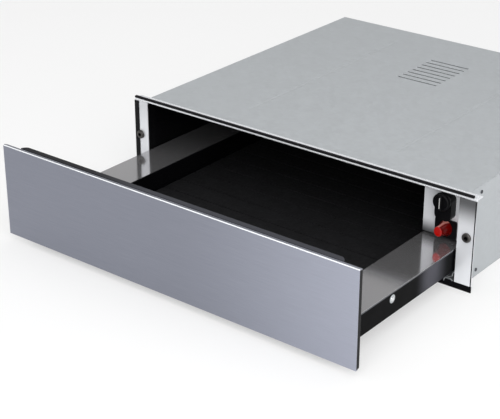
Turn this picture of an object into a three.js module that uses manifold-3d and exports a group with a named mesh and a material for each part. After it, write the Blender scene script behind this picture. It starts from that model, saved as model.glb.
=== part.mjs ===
// Built-in warming drawer with a push-to-open front, drawn half open.
// Millimetres, +Z up, +X to the right, +Y into the cabinet.
// The origin is the centre of the housing's underside.
import * as THREE from 'three';
import { mergeVertices } from 'three/addons/utils/BufferGeometryUtils.js';
import Module from 'manifold-3d';

const wasm = await Module();
wasm.setup();

// ---------- driving dimensions ----------

// Clearances
const SEAT = 0.2; // between two pieces that rest on or are fixed to each other
const RUN = 0.08; // around a shaft or a stem in its bore
const HOLE_PLAY = 0.5; // around a screw or a shaft in a sheet
const CUT_REACH = 10; // how far a cutting tool passes beyond what it cuts

// Housing, the steel box behind the front frame
const FRAME_OVERHANG = 19.5; // of the front frame beyond each side of the housing
const HOUSING_DEPTH = 530;
const HOUSING_HEIGHT = 136;
const HOUSING_SHEET = 1;
const HOUSING_HEM = 12; // inward flanges of the side panels
const PANEL_SETBACK = 3; // leaves the frame's back free for the cabinet's edge
const LINER_SHEET = 0.8;
const LINER_FOOT = 3.5; // outward flange under each side liner
const REAR_SPACE = 44; // between the rear liner and the rear panel
const CEILING_DROP = 3.6; // from the top panel to the ceiling liner
const BEAD_RADIUS = 9; // pressed stiffening beads in the base and the top
const BEAD_HEIGHT = 1.2;
const BEAD_MARGIN = 50; // from a bead's ends to the panel's ends
const BEAD_X = 130;

// Front frame that lies on the cabinet's front edges
const FRAME_WIDTH = 595;
const FRAME_SHEET = 1.2;
const COLUMN_WIDTH = 25.5;
const COLUMN_RETURN = 16;
const TOP_LIP_HEIGHT = 3;
const TOP_RETURN = 15;
const TOP_SEAL_HEIGHT = 3;
const TOP_SEAL_DEPTH = 4.6;
const TOP_SEAL_SHORT = 5.5; // the seal ends before the frame's right-hand end
const BOTTOM_STRIP_HEIGHT = 9;
const BOTTOM_STRIP_DEPTH = 1.6;
const EDGE_SEAL_SHEET = 0.5;
const EDGE_SEAL_WIDTH = 8.7; // dark strip down the frame's left-hand edge

// Screws through the frame into the cabinet
const SCREW_INSET = 11; // from the frame's outer edge
const SCREW_DROP = 57; // below the housing's top
const SCREW_HEAD_RADIUS = 6.6;
const SCREW_HEAD_DEPTH = 3.2;
const SCREW_SHANK_RADIUS = 2.1;
const SCREW_LENGTH = 18;
const HEX_RADIUS = 2.3;

// Drawer front
const FRONT_BOTTOM = 10;
const FRONT_OVERLAP = 10; // above the housing's top
const FRONT_STANDOFF = 20; // from its face to the frame's plane when shut
const FRONT_SHEET = 1.2;
const FRONT_RETURN = 4;
const BACKING_STEP = 3; // the black backing shows behind the folded edge
const CARRIER_SHEET = 1.5;
const GRIP_DEPTH = 8.4; // the carrier's top flange behind the backing
const GRIP_SLOPE = 6;
const GRIP_DROP = 0.5;

// Drawer box
const DRAWER_SIDE_GAP = 2.5; // to the frame's mouth on each side
const DRAWER_REAR_GAP = 30; // to the rear liner when shut
const DRAWER_BOTTOM = 24;
const DRAWER_HEIGHT = 33;
const SHELF_WIDTH = 61;
const SHELF_SHEET = 1;
const SHELF_OUTER_FOLD = 2.6;
const SHELF_INNER_FOLD = 13;
const SIDE_SHEET = 1.2;
const SIDE_HEM = 8;
const TRAY_SHEET = 1.2;
const TRAY_CORNER = 8;
const MAT_THICKNESS = 3;
const MAT_MARGIN = 3;
const MAT_GROOVES = 12;
const MAT_GROOVE_WIDTH = 4;
const MAT_GROOVE_DEPTH = 1;
const STUD_Y = 98.5;
const STUD_DROP = 10; // below the shelf's top
const STUD_RADIUS = 3.3;
const STUD_HEIGHT = 1.5;
const STUD_SHANK = 1.5;

// Travel: the drawer is drawn open by this much
const DRAWER_OPEN = 247;

// Telescopic ball runners, three nested channels a side
const RAIL_SHEET = 1.2;
const RAIL_HEIGHT = 28;
const RAIL_DEPTH = 11;
const RAIL_SIDE_GAP = 2.5; // from the fixed channel's flanges to the drawer channel's web
const RAIL_SHELF_GAP = 1.2; // under the shelf
const RAIL_LIP = 0.8; // turned-in tips of the channels that hold a cage
const BALL_RADIUS = 1.5;
const BALL_PLAY = 0.05;
const BALL_OFFSET = 7.3; // from the fixed channel's web to the balls' centres
const CAGE_SHEET = 0.6;
const CAGE_PLAY = 0.3;
const CAGE_LIP = 0.7; // beyond the balls
const CAGE_LENGTH = 180;
const BALLS_PER_ROW = 5;
const RACE_DEPTH = 0.5; // rolled grooves in which the balls run
const RACE_WIDTH = 3.8;
const RACE_STEPS = 4;
const FIXED_RAIL_START = 4;
const FIXED_RAIL_SHORT = 6; // shorter than the drawer box
const MIDDLE_RAIL_START = 6;
const MIDDLE_RAIL_SHORT = 36;
const DRAWER_RAIL_START = 4;
const DRAWER_RAIL_SHORT = 26;
const OUTER_CAGE_START = 160;
const INNER_CAGE_START = 150;
const BRACKET_SHEET = 1.5;
const BRACKET_FOOT = 18;
const BRACKET_STEP = 6; // sideways joggle of the bracket's web
const BRACKET_STEP_Z = 14;

// Push latch under the tray and its striker
const LATCH_WIDTH = 34;
const LATCH_DEPTH = 62;
const LATCH_HEIGHT = 18;
const LATCH_Y = 30;
const PLUNGER_RADIUS = 4;
const PLUNGER_LENGTH = 36;
const PLUNGER_TRAVEL = 8;
const PLUNGER_Z = 15.5;
const STRIKER_SHEET = 2;
const STRIKER_WIDTH = 22;
const STRIKER_Y = 7; // its back face with the drawer shut
const STRIKER_LIFT = 1.5; // above the bottom strip
const STRIKER_FOOT = 14;
const PUSH_IN = 3; // the front is pushed in this far to open the latch

// Control fascia, set back behind the frame on the right
const FASCIA_SETBACK = 18;
const FASCIA_LIFT = 3; // above the shelf
const FASCIA_SHEET = 1;
const CONTROL_DEPTH = 92;
const CONTROL_INSET = 27; // knob and button centre line, from the mouth's right-hand side

const KNOB_DROP = 13.6; // below the ceiling liner
const KNOB_RADIUS = 12.6;
const KNOB_DEPTH = 7.4;
const KNOB_GAP = 0.3; // in front of the bezel
const GRIP_BAR_WIDTH = 5;
const GRIP_BAR_HEIGHT = 2.4;
const POINTER_WIDTH = 1.3;
const POINTER_LENGTH = 15.5;
const POINTER_DEPTH = 0.8;
const POINTER_PLAY = 0.1;
const KNOB_SHAFT_RADIUS = 3;
const KNOB_SHAFT_LENGTH = 30;
const KNOB_BEZEL_WIDTH = 25;
const KNOB_BEZEL_ABOVE = 8.2; // from the knob's centre to the bezel's top
const BEZEL_GAP = 2.5; // between the two bezels
const KNOB_BEZEL_DEPTH = 12.7;
const KNOB_BEZEL_CORNER = 8;
const THERMOSTAT_WIDTH = 30;
const THERMOSTAT_HEIGHT = 24;
const THERMOSTAT_DEPTH = 30;
const THERMOSTAT_END_GAP = 2; // behind the end of the knob's shaft

const BUTTON_LEVEL = 14; // above the fascia's bottom
const BUTTON_BASE_X = 9.6;
const BUTTON_BASE_Z = 11.2;
const BUTTON_TIP_RADIUS = 6.9;
const BUTTON_DEPTH = 22.5;
const BUTTON_CANT = 2.6; // the tip points upwards by this much
const BUTTON_RIM = 2.4;
const BUTTON_STEM_RADIUS = 3.5;
const BUTTON_STEM = 14;
const BUTTON_TRAVEL_ROOM = 2.8;
const BUTTON_LIFT = 0.5; // in front of the fascia
const SWITCH_BEZEL_WIDTH = 33;
const SWITCH_BEZEL_HEIGHT = 26;
const SWITCH_BEZEL_DEPTH = 2.5;
const SWITCH_BEZEL_CORNER = 3;
const SWITCH_BODY_WIDTH = 26;
const SWITCH_BODY_HEIGHT = 22;
const SWITCH_BODY_DEPTH = 26;

// Wiring duct from the control box to the rear space
const DUCT_WIDTH = 30;
const DUCT_HEIGHT = 26;
const DUCT_SHEET = 0.8;
const DUCT_HOLE_MARGIN = 4;

// Fan, heater and electrical parts in the rear space
const FAN_DROP = 2; // below the housing's mid-height
const IMPELLER_RADIUS = 40;
const IMPELLER_EYE = 25;
const IMPELLER_DEPTH = 12;
const IMPELLER_SHEET = 1.2;
const IMPELLER_HUB = 7;
const IMPELLER_RING = 6; // width of the ring that joins the blades' front edges
const BLADE_COUNT = 14;
const BLADE_SHEET = 1.2;
const BLADE_SWEEP = 0.5;
const FAN_FRONT_GAP = 4;
const FAN_BACK_GAP = 2;
const FAN_SHAFT_RADIUS = 2.5;
const MOTOR_RADIUS = 20;
const MOTOR_DEPTH = 14;
const FAN_BRACKET_SPAN = 128;
const FAN_BRACKET_HEIGHT = 46;
const FAN_BRACKET_SHEET = 1.5;
const FAN_BRACKET_FOOT = 10;
const ELEMENT_RADIUS = 52;
const ELEMENT_TUBE = 3.2;
const ELEMENT_GAP_ANGLE = 0.22;
const INLET_RADIUS = 30;
const INLET_SLOTS = 9;
const OUTLET_SLOTS = 5;
const OUTLET_X = 150;
const SLOT_WIDTH = 3.4;
const SLOT_PITCH = 7;
const OUTLET_HEIGHT = 60;
const TOP_SLOTS_START = 60; // in front of the rear liner
const LOUVRE_COUNT = 8;
const LOUVRE_WIDTH = 70;
const CUTOUT_X = -96;
const CUTOUT_RISE = 26; // above the fan's axis
const CUTOUT_RADIUS = 9;
const CUTOUT_DEPTH = 7;
const INLET_INSET = 53; // gland and terminal block, from the housing's right-hand side
const TERMINAL_Z = 42;
const TERMINAL_WIDTH = 44;
const TERMINAL_DEPTH = 18;
const TERMINAL_HEIGHT = 22;
const TERMINAL_WELL_RADIUS = 3;
const TERMINAL_PITCH = 12;
const GLAND_DROP = 52; // below the housing's top
const GLAND_RADIUS = 9;
const GLAND_BORE = 4.5;
const GLAND_STEP = 2; // its neck is this much smaller than its flange
const GLAND_FLANGE = 3;
const GLAND_TAIL = 8;

// ---------- levels and places worked out from them ----------

const FRAME_HALF = FRAME_WIDTH / 2;
const MOUTH_HALF = FRAME_HALF - COLUMN_WIDTH;
const OUTER_HALF = FRAME_HALF - FRAME_OVERHANG;
const BASE_TOP = HOUSING_SHEET;
const TOP_PANEL_BOTTOM = HOUSING_HEIGHT - HOUSING_SHEET;
const WALL_BOTTOM = BASE_TOP + SEAT;
const WALL_TOP = TOP_PANEL_BOTTOM - SEAT;
const CEILING_Z = TOP_PANEL_BOTTOM - CEILING_DROP;
const SCREW_Z = HOUSING_HEIGHT - SCREW_DROP;
const COLUMN_BOTTOM = BOTTOM_STRIP_HEIGHT + SEAT;
const COLUMN_TOP = HOUSING_HEIGHT - TOP_LIP_HEIGHT - SEAT;
const REAR_INNER_Y = HOUSING_DEPTH - HOUSING_SHEET;
const REAR_LINER_Y = REAR_INNER_Y - REAR_SPACE;
const LINER_FRONT_Y = COLUMN_RETURN + SEAT;
const LINER_BOTTOM = WALL_BOTTOM + HOUSING_SHEET + SEAT; // on the side panels' lower flanges

const DRAWER_HALF = MOUTH_HALF - DRAWER_SIDE_GAP;
const DRAWER_TOP = DRAWER_BOTTOM + DRAWER_HEIGHT;
const FRONT_TOP = HOUSING_HEIGHT + FRONT_OVERLAP;
const FRONT_FACE_Y = -FRONT_STANDOFF;
const BACKING_BACK_Y = FRONT_FACE_Y + FRONT_RETURN + BACKING_STEP;
const CARRIER_Y = BACKING_BACK_Y + SEAT;
const CARRIER_BACK_Y = CARRIER_Y + CARRIER_SHEET;
const BOX_START_Y = CARRIER_BACK_Y + SEAT;
const DRAWER_LENGTH = REAR_LINER_Y - DRAWER_REAR_GAP - BOX_START_Y;
const TRAY_HALF = DRAWER_HALF - SHELF_WIDTH - SEAT;
const TRAY_TOP = DRAWER_TOP - SHELF_SHEET - SEAT;

const SIDE_INNER_X = DRAWER_HALF - SIDE_SHEET;
const RAIL_TOP = DRAWER_TOP - SHELF_SHEET - RAIL_SHELF_GAP;
const RAIL_CENTRE_Z = RAIL_TOP - RAIL_HEIGHT / 2;
const BALL_SEAT = BALL_RADIUS + BALL_PLAY;
const BALL_GAP = 2 * BALL_SEAT - RACE_DEPTH;
const MIDDLE_RAIL_HEIGHT = RAIL_HEIGHT - 2 * (RAIL_SHEET + BALL_GAP);
const DRAWER_RAIL_HEIGHT = MIDDLE_RAIL_HEIGHT - 2 * (RAIL_SHEET + BALL_GAP);
const WEB_GAP = CAGE_SHEET + 2 * CAGE_PLAY;
const DRAWER_RAIL_WEB_X = SIDE_INNER_X - SEAT;
const FIXED_RAIL_WEB_X = DRAWER_RAIL_WEB_X - RAIL_DEPTH - RAIL_SIDE_GAP;
const MIDDLE_RAIL_WEB_X = FIXED_RAIL_WEB_X + RAIL_SHEET + WEB_GAP;
const INNER_CAGE_WEB_X = MIDDLE_RAIL_WEB_X + RAIL_SHEET + CAGE_PLAY;
const OUTER_CAGE_WEB_X = FIXED_RAIL_WEB_X + RAIL_SHEET + CAGE_PLAY;
const BALL_X = FIXED_RAIL_WEB_X + BALL_OFFSET;

const STRIKER_BOTTOM = BOTTOM_STRIP_HEIGHT + STRIKER_LIFT;
const PLUNGER_FRONT = STRIKER_Y + PUSH_IN + SEAT;

const CONTROL_INNER_X = DRAWER_HALF - SHELF_WIDTH;
const CONTROL_OUTER_X = MOUTH_HALF - SEAT;
const CONTROL_X = MOUTH_HALF - CONTROL_INSET;
const FASCIA_BOTTOM = DRAWER_TOP + FASCIA_LIFT;
const BUTTON_Z = FASCIA_BOTTOM + BUTTON_LEVEL;
const KNOB_Z = CEILING_Z - KNOB_DROP;
const KNOB_BEZEL_BOTTOM = BUTTON_Z + SWITCH_BEZEL_HEIGHT / 2 + BEZEL_GAP;
const KNOB_BEZEL_TOP = KNOB_Z + KNOB_BEZEL_ABOVE;
const FASCIA_BACK_Y = FASCIA_SETBACK + FASCIA_SHEET;
const CONTROL_BACK_Y = FASCIA_SETBACK + CONTROL_DEPTH;
const KNOB_BEZEL_FRONT_Y = FASCIA_SETBACK - SEAT - KNOB_BEZEL_DEPTH;
const KNOB_BACK_Y = KNOB_BEZEL_FRONT_Y - KNOB_GAP;
const BUTTON_BACK_Y = FASCIA_SETBACK - BUTTON_LIFT;
const SWITCH_BODY_Y = BUTTON_BACK_Y + BUTTON_TRAVEL_ROOM;

const FAN_Z = HOUSING_HEIGHT / 2 - FAN_DROP;
const CUTOUT_Z = FAN_Z + CUTOUT_RISE;
const GLAND_Z = HOUSING_HEIGHT - GLAND_DROP;
const INLET_X = OUTER_HALF - INLET_INSET;
const IMPELLER_FRONT_Y = REAR_LINER_Y + LINER_SHEET + FAN_FRONT_GAP;
const IMPELLER_BACK_Y = IMPELLER_FRONT_Y + IMPELLER_DEPTH;
const FAN_BRACKET_Y = IMPELLER_BACK_Y + FAN_BACK_GAP;
const MOTOR_Y = FAN_BRACKET_Y + FAN_BRACKET_SHEET + SEAT;
const ELEMENT_Y = IMPELLER_FRONT_Y + ELEMENT_TUBE;

// ---------- materials ----------

function finish(color, roughness, metalness) {
  return new THREE.MeshStandardMaterial({ color, roughness, metalness });
}

const BRUSHED_STEEL = finish(0x9a9da8, 0.35, 1);
const BRIGHT_STEEL = finish(0xd6d9de, 0.25, 1);
const ZINC_STEEL = finish(0xaeb2b5, 0.45, 1);
const BLACK_STEEL = finish(0x141416, 0.4, 0.4);
const BLACK_ENAMEL = finish(0x0b0b0d, 0.15, 0.1);
const BLACK_PLASTIC = finish(0x111112, 0.35, 0);
const BLACK_RUBBER = finish(0x1b1b1c, 0.8, 0);
const DARK_METAL = finish(0x4a4b4e, 0.35, 1);
const CHROME = finish(0xe2e4e6, 0.1, 1);
const WHITE_PRINT = finish(0xf2f2f0, 0.5, 0);
const RED_LENS = finish(0xe02018, 0.2, 0);
const WHITE_PLASTIC = finish(0xdedbd2, 0.5, 0);

// ---------- helpers ----------

function block(x0, x1, y0, y1, z0, z1) {
  const geometry = new THREE.BoxGeometry(x1 - x0, y1 - y0, z1 - z0);
  return geometry.translate((x0 + x1) / 2, (y0 + y1) / 2, (z0 + z1) / 2);
}

function rodAlongY(radius, y0, y1, x, z, sides = 32) {
  const geometry = new THREE.CylinderGeometry(radius, radius, y1 - y0, sides);
  return geometry.translate(x, (y0 + y1) / 2, z);
}

function rodAlongX(radius, x0, x1, y, z, sides = 24) {
  const geometry = new THREE.CylinderGeometry(radius, radius, x1 - x0, sides);
  return geometry.rotateZ(Math.PI / 2).translate((x0 + x1) / 2, y, z);
}

function extrude(shape, depth) {
  return new THREE.ExtrudeGeometry(shape, { depth, bevelEnabled: false, curveSegments: 6 });
}

// Extrusions of a profile: (y, z) along X, (x, z) along Y and (x, y) along Z
function alongX(shape, x0, x1) {
  const turn = new THREE.Matrix4().set(0, 0, 1, x0, 1, 0, 0, 0, 0, 1, 0, 0, 0, 0, 0, 1);
  return extrude(shape, x1 - x0).applyMatrix4(turn);
}

function alongY(shape, y0, y1) {
  return extrude(shape, y1 - y0).rotateX(Math.PI / 2).translate(0, y1, 0);
}

function alongZ(shape, z0, z1) {
  return extrude(shape, z1 - z0).translate(0, 0, z0);
}

function polygon(points) {
  return new THREE.Shape(points.map(([u, v]) => new THREE.Vector2(u, v)));
}

// Outline of a bent sheet: the path and the same path set off to its left, with mitred bends
function sheetProfile(path, thickness) {
  const points = path.map(([u, v]) => new THREE.Vector2(u, v));
  const last = points.length - 1;
  const leftOf = (from, to) => {
    const along = to.clone().sub(from).normalize();
    return new THREE.Vector2(-along.y, along.x);
  };
  const offset = points.map((point, i) => {
    const before = leftOf(points[Math.max(i - 1, 0)], points[Math.max(i, 1)]);
    const after = leftOf(points[Math.min(i, last - 1)], points[Math.min(i + 1, last)]);
    const mitre = before.clone().add(after).normalize();
    return point.clone().addScaledVector(mitre, thickness / mitre.dot(before));
  });
  return new THREE.Shape([...points, ...offset.reverse()]);
}

function roundedRectangle(x0, x1, z0, z1, radius) {
  const shape = new THREE.Shape();
  shape.moveTo(x0 + radius, z0);
  shape.lineTo(x1 - radius, z0);
  shape.absarc(x1 - radius, z0 + radius, radius, -Math.PI / 2, 0, false);
  shape.lineTo(x1, z1 - radius);
  shape.absarc(x1 - radius, z1 - radius, radius, 0, Math.PI / 2, false);
  shape.lineTo(x0 + radius, z1);
  shape.absarc(x0 + radius, z1 - radius, radius, Math.PI / 2, Math.PI, false);
  shape.lineTo(x0, z0 + radius);
  shape.absarc(x0 + radius, z0 + radius, radius, Math.PI, 1.5 * Math.PI, false);
  return shape;
}

function solidOf(geometry) {
  const bare = geometry.clone();
  bare.deleteAttribute('normal');
  bare.deleteAttribute('uv');
  const merged = mergeVertices(bare, 1e-4);
  const vertProperties = new Float32Array(merged.attributes.position.array);
  const triVerts = new Uint32Array(merged.index.array);
  return new wasm.Manifold(new wasm.Mesh({ numProp: 3, vertProperties, triVerts }));
}

function geometryOf(solid) {
  const mesh = solid.getMesh();
  const geometry = new THREE.BufferGeometry();
  geometry.setAttribute('position', new THREE.BufferAttribute(mesh.vertProperties, 3));
  geometry.setIndex(new THREE.BufferAttribute(mesh.triVerts, 1));
  geometry.computeVertexNormals();
  return geometry;
}

function cut(geometry, ...tools) {
  return geometryOf(tools.reduce((solid, tool) => solid.subtract(solidOf(tool)), solidOf(geometry)));
}

function join(geometry, ...others) {
  return geometryOf(others.reduce((solid, other) => solid.add(solidOf(other)), solidOf(geometry)));
}

function add(parent, name, geometry, material) {
  const mesh = new THREE.Mesh(geometry, material);
  mesh.name = name;
  parent.add(mesh);
  return mesh;
}

const SIDES = [['left', -1], ['right', 1]];

// ---------- groups ----------

const warmingDrawer = new THREE.Group();
const housing = new THREE.Group(); // its y = 0 is the frame's front plane
housing.position.y = -HOUSING_DEPTH / 2;
warmingDrawer.add(housing);
const drawer = new THREE.Group(); // drawn shut, then pulled open
drawer.position.y = -DRAWER_OPEN;
housing.add(drawer);

// ---------- housing box ----------

// A level sheet with two long beads pressed up (rise 1) or down (rise -1)
function beadedSheet(sheet, y0, y1, bottom, rise, ...holes) {
  const length = y1 - y0 - 2 * (BEAD_MARGIN + BEAD_RADIUS);
  const sunk = BEAD_RADIUS - BEAD_HEIGHT; // from the sheet's face to the bead's axis
  const face = rise > 0 ? bottom + HOUSING_SHEET : bottom;
  const beads = SIDES.map(([, s]) => {
    const rod = new THREE.CapsuleGeometry(BEAD_RADIUS, length, 3, 20);
    return rod.translate(s * BEAD_X, (y0 + y1) / 2, face - rise * sunk);
  });
  const reach = rise * BEAD_RADIUS;
  const inside = [face - rise * HOUSING_SHEET / 2, face + reach].sort((a, b) => a - b);
  const room = solidOf(block(-OUTER_HALF, OUTER_HALF, y0, y1, ...inside));
  let solid = solidOf(sheet);
  for (const bead of beads) solid = solid.add(solidOf(bead).intersect(room));
  for (const bead of beads) {
    solid = solid.subtract(solidOf(bead.clone().translate(0, 0, -rise * HOUSING_SHEET)));
  }
  return cut(geometryOf(solid), ...holes);
}

function makeHousingBox() {
  const panelEnd = REAR_INNER_Y - SEAT;
  const baseFront = BOTTOM_STRIP_DEPTH + SEAT;
  const base = block(-OUTER_HALF, OUTER_HALF, baseFront, panelEnd, 0, BASE_TOP);
  add(housing, 'base_plate', beadedSheet(base, baseFront, panelEnd, 0, 1), ZINC_STEEL);

  for (const [side, s] of SIDES) {
    const outer = s * OUTER_HALF;
    const inner = s * (OUTER_HALF - HOUSING_HEM);
    const path = [[inner, WALL_BOTTOM], [outer, WALL_BOTTOM], [outer, WALL_TOP], [inner, WALL_TOP]];
    const profile = sheetProfile(path, s * HOUSING_SHEET);
    const panel = alongY(profile, FRAME_SHEET + PANEL_SETBACK, panelEnd);
    add(housing, `side_panel_${side}`, panel, ZINC_STEEL);
  }

  const topFront = TOP_RETURN + SEAT;
  const top = block(-OUTER_HALF, OUTER_HALF, topFront, panelEnd, TOP_PANEL_BOTTOM, HOUSING_HEIGHT);
  const halfSlot = LOUVRE_WIDTH / 2;
  const topSlots = Array.from({ length: LOUVRE_COUNT }, (_, i) => {
    const y = REAR_LINER_Y - TOP_SLOTS_START - i * 2 * SLOT_PITCH;
    return block(-halfSlot, halfSlot, y, y + SLOT_WIDTH, 0, 2 * HOUSING_HEIGHT);
  });
  const beadedTop = beadedSheet(top, topFront, panelEnd, TOP_PANEL_BOTTOM, -1, ...topSlots);
  add(housing, 'top_panel', beadedTop, ZINC_STEEL);

  const rear = block(-OUTER_HALF, OUTER_HALF, REAR_INNER_Y, HOUSING_DEPTH, 0, HOUSING_HEIGHT);
  const louvres = Array.from({ length: LOUVRE_COUNT }, (_, i) => {
    const z = FAN_Z + (i - (LOUVRE_COUNT - 1) / 2) * SLOT_PITCH;
    return block(-halfSlot, halfSlot, 0, 2 * HOUSING_DEPTH, z - SLOT_WIDTH / 2, z + SLOT_WIDTH / 2);
  });
  const glandHoleRadius = GLAND_RADIUS - GLAND_STEP + HOLE_PLAY;
  const glandHole = rodAlongY(glandHoleRadius, 0, 2 * HOUSING_DEPTH, INLET_X, GLAND_Z);
  add(housing, 'rear_panel', cut(rear, ...louvres, glandHole), ZINC_STEEL);
}

// ---------- front frame ----------

function makeFrame() {
  const screwHole = rodAlongY(SCREW_SHANK_RADIUS + HOLE_PLAY, -CUT_REACH, CUT_REACH, 0, SCREW_Z, 24);
  for (const [side, s] of SIDES) {
    const outer = s * FRAME_HALF;
    const inner = s * MOUTH_HALF;
    const profile = sheetProfile([[outer, 0], [inner, 0], [inner, COLUMN_RETURN]], -s * FRAME_SHEET);
    const column = alongZ(profile, COLUMN_BOTTOM, COLUMN_TOP);
    const hole = screwHole.clone().translate(s * (FRAME_HALF - SCREW_INSET), 0, 0);
    add(housing, `front_column_${side}`, cut(column, hole), BRIGHT_STEEL);
  }

  const sealInner = -FRAME_HALF + EDGE_SEAL_WIDTH;
  const sealFront = -SEAT - EDGE_SEAL_SHEET;
  const seal = block(-FRAME_HALF, sealInner, sealFront, -SEAT, COLUMN_BOTTOM, COLUMN_TOP);
  const sealHole = screwHole.clone().translate(SCREW_INSET - FRAME_HALF, 0, 0);
  add(housing, 'edge_seal', cut(seal, sealHole), BLACK_RUBBER);

  const lipBottom = HOUSING_HEIGHT - TOP_LIP_HEIGHT;
  const path = [[0, lipBottom], [0, HOUSING_HEIGHT], [TOP_RETURN, HOUSING_HEIGHT]];
  const rail = alongX(sheetProfile(path, -FRAME_SHEET), -FRAME_HALF, FRAME_HALF);
  add(housing, 'top_front_rail', rail, BRIGHT_STEEL);

  const sealBottom = HOUSING_HEIGHT + SEAT;
  const sealTop = sealBottom + TOP_SEAL_HEIGHT;
  const sealRight = FRAME_HALF - TOP_SEAL_SHORT;
  const topSeal = block(-FRAME_HALF, sealRight, 0, TOP_SEAL_DEPTH, sealBottom, sealTop);
  add(housing, 'top_seal_strip', topSeal, BLACK_RUBBER);

  const strip = block(-FRAME_HALF, FRAME_HALF, 0, BOTTOM_STRIP_DEPTH, 0, BOTTOM_STRIP_HEIGHT);
  add(housing, 'bottom_front_strip', strip, BLACK_STEEL);
}

// A round-headed screw with a hexagon socket, its head towards -Y
function mountingScrew(x) {
  const headBack = -SEAT - EDGE_SEAL_SHEET - SEAT;
  const headFront = headBack - SCREW_HEAD_DEPTH;
  const profile = [
    [0, headFront],
    [0.6 * SCREW_HEAD_RADIUS, headFront + 0.1 * SCREW_HEAD_DEPTH],
    [0.9 * SCREW_HEAD_RADIUS, headFront + 0.45 * SCREW_HEAD_DEPTH],
    [SCREW_HEAD_RADIUS, headFront + 0.8 * SCREW_HEAD_DEPTH],
    [SCREW_HEAD_RADIUS, headBack],
    [SCREW_SHANK_RADIUS, headBack],
    [SCREW_SHANK_RADIUS, SCREW_LENGTH - 2],
    [0, SCREW_LENGTH],
  ];
  const points = profile.map(([r, y]) => new THREE.Vector2(r, y));
  const screw = new THREE.LatheGeometry(points, 24);
  const socket = rodAlongY(HEX_RADIUS, headFront - 1, headFront + 0.6 * SCREW_HEAD_DEPTH, 0, 0, 6);
  return cut(screw, socket).translate(x, 0, SCREW_Z);
}

function makeScrews() {
  for (const [side, s] of SIDES) {
    const screw = mountingScrew(s * (FRAME_HALF - SCREW_INSET));
    add(housing, `mounting_screw_${side}`, screw, DARK_METAL);
  }
}

// ---------- liners ----------

function makeLiners() {
  const linerTop = CEILING_Z - SEAT;
  const linerEnd = REAR_LINER_Y - SEAT;
  for (const [side, s] of SIDES) {
    const face = s * MOUTH_HALF;
    const foot = s * (MOUTH_HALF + LINER_FOOT);
    const path = [[foot, LINER_BOTTOM], [face, LINER_BOTTOM], [face, linerTop]];
    const profile = sheetProfile(path, -s * LINER_SHEET);
    add(housing, `side_liner_${side}`, alongY(profile, LINER_FRONT_Y, linerEnd), BLACK_ENAMEL);
  }
  const half = OUTER_HALF - HOUSING_SHEET - SEAT;
  const ceiling = block(-half, half, LINER_FRONT_Y, linerEnd, CEILING_Z, CEILING_Z + LINER_SHEET);
  add(housing, 'ceiling_liner', ceiling, BLACK_ENAMEL);

  const backTop = WALL_TOP - HOUSING_SHEET - SEAT;
  const back = block(-half, half, REAR_LINER_Y, REAR_LINER_Y + LINER_SHEET, LINER_BOTTOM, backTop);
  const inlet = Array.from({ length: INLET_SLOTS }, (_, i) => {
    const x = (i - (INLET_SLOTS - 1) / 2) * SLOT_PITCH;
    return uprightSlot(x, Math.sqrt(INLET_RADIUS ** 2 - x ** 2));
  });
  const outlets = SIDES.flatMap(([, s]) => Array.from({ length: OUTLET_SLOTS }, (_, i) => (
    uprightSlot(s * (OUTLET_X + i * SLOT_PITCH), OUTLET_HEIGHT / 2)
  )));
  add(housing, 'rear_liner', cut(back, ...inlet, ...outlets, ductOpening()), BLACK_ENAMEL);
}

// Cutting tools through every sheet behind the mouth
function uprightSlot(x, reach) {
  const half = SLOT_WIDTH / 2;
  return block(x - half, x + half, 0, 2 * HOUSING_DEPTH, FAN_Z - reach, FAN_Z + reach);
}

function ductOpening() {
  const outer = CONTROL_OUTER_X - DUCT_HOLE_MARGIN;
  const inner = CONTROL_OUTER_X - DUCT_WIDTH + DUCT_HOLE_MARGIN;
  const low = CEILING_Z - DUCT_HEIGHT + DUCT_HOLE_MARGIN;
  return block(inner, outer, 0, HOUSING_DEPTH, low, CEILING_Z - DUCT_HOLE_MARGIN);
}

// ---------- controls ----------

function makeControlBox() {
  const top = CEILING_Z - SEAT;
  const wall = FASCIA_SHEET;
  const outside = block(CONTROL_INNER_X, CONTROL_OUTER_X, FASCIA_SETBACK, CONTROL_BACK_Y,
    FASCIA_BOTTOM, top);
  const inside = block(CONTROL_INNER_X + wall, CONTROL_OUTER_X - wall, FASCIA_BACK_Y,
    CONTROL_BACK_Y + CUT_REACH, FASCIA_BOTTOM + wall, top - wall);
  const middleY = CONTROL_BACK_Y / 2;
  const shaftHole = rodAlongY(KNOB_SHAFT_RADIUS + HOLE_PLAY, 0, middleY, CONTROL_X, KNOB_Z);
  const box = cut(outside, inside, shaftHole, buttonWindow(0, middleY));
  add(housing, 'control_box', box, BRIGHT_STEEL);

  const coverY = CONTROL_BACK_Y + SEAT;
  const cover = block(CONTROL_INNER_X, CONTROL_OUTER_X, coverY, coverY + FASCIA_SHEET, FASCIA_BOTTOM, top);
  add(housing, 'control_box_cover', cut(cover, ductOpening()), ZINC_STEEL);

  const ductInner = CONTROL_OUTER_X - DUCT_WIDTH;
  const ductBottom = top - DUCT_HEIGHT;
  const path = [[CONTROL_OUTER_X, ductBottom], [ductInner, ductBottom], [ductInner, top]];
  const profile = sheetProfile(path, -DUCT_SHEET);
  const duct = alongY(profile, coverY + FASCIA_SHEET + SEAT, REAR_LINER_Y - SEAT);
  add(housing, 'wiring_duct', duct, ZINC_STEEL);
}

function buttonWindow(y0, y1) {
  const hole = rodAlongY(1, y0, y1, 0, 0, 32);
  hole.scale(BUTTON_BASE_X + HOLE_PLAY, 1, BUTTON_BASE_Z + HOLE_PLAY);
  return hole.translate(CONTROL_X, 0, BUTTON_Z);
}

// Rounded rectangle about the controls' centre line
function controlPlate(width, bottom, top, corner) {
  return roundedRectangle(CONTROL_X - width / 2, CONTROL_X + width / 2, bottom, top, corner);
}

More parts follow.
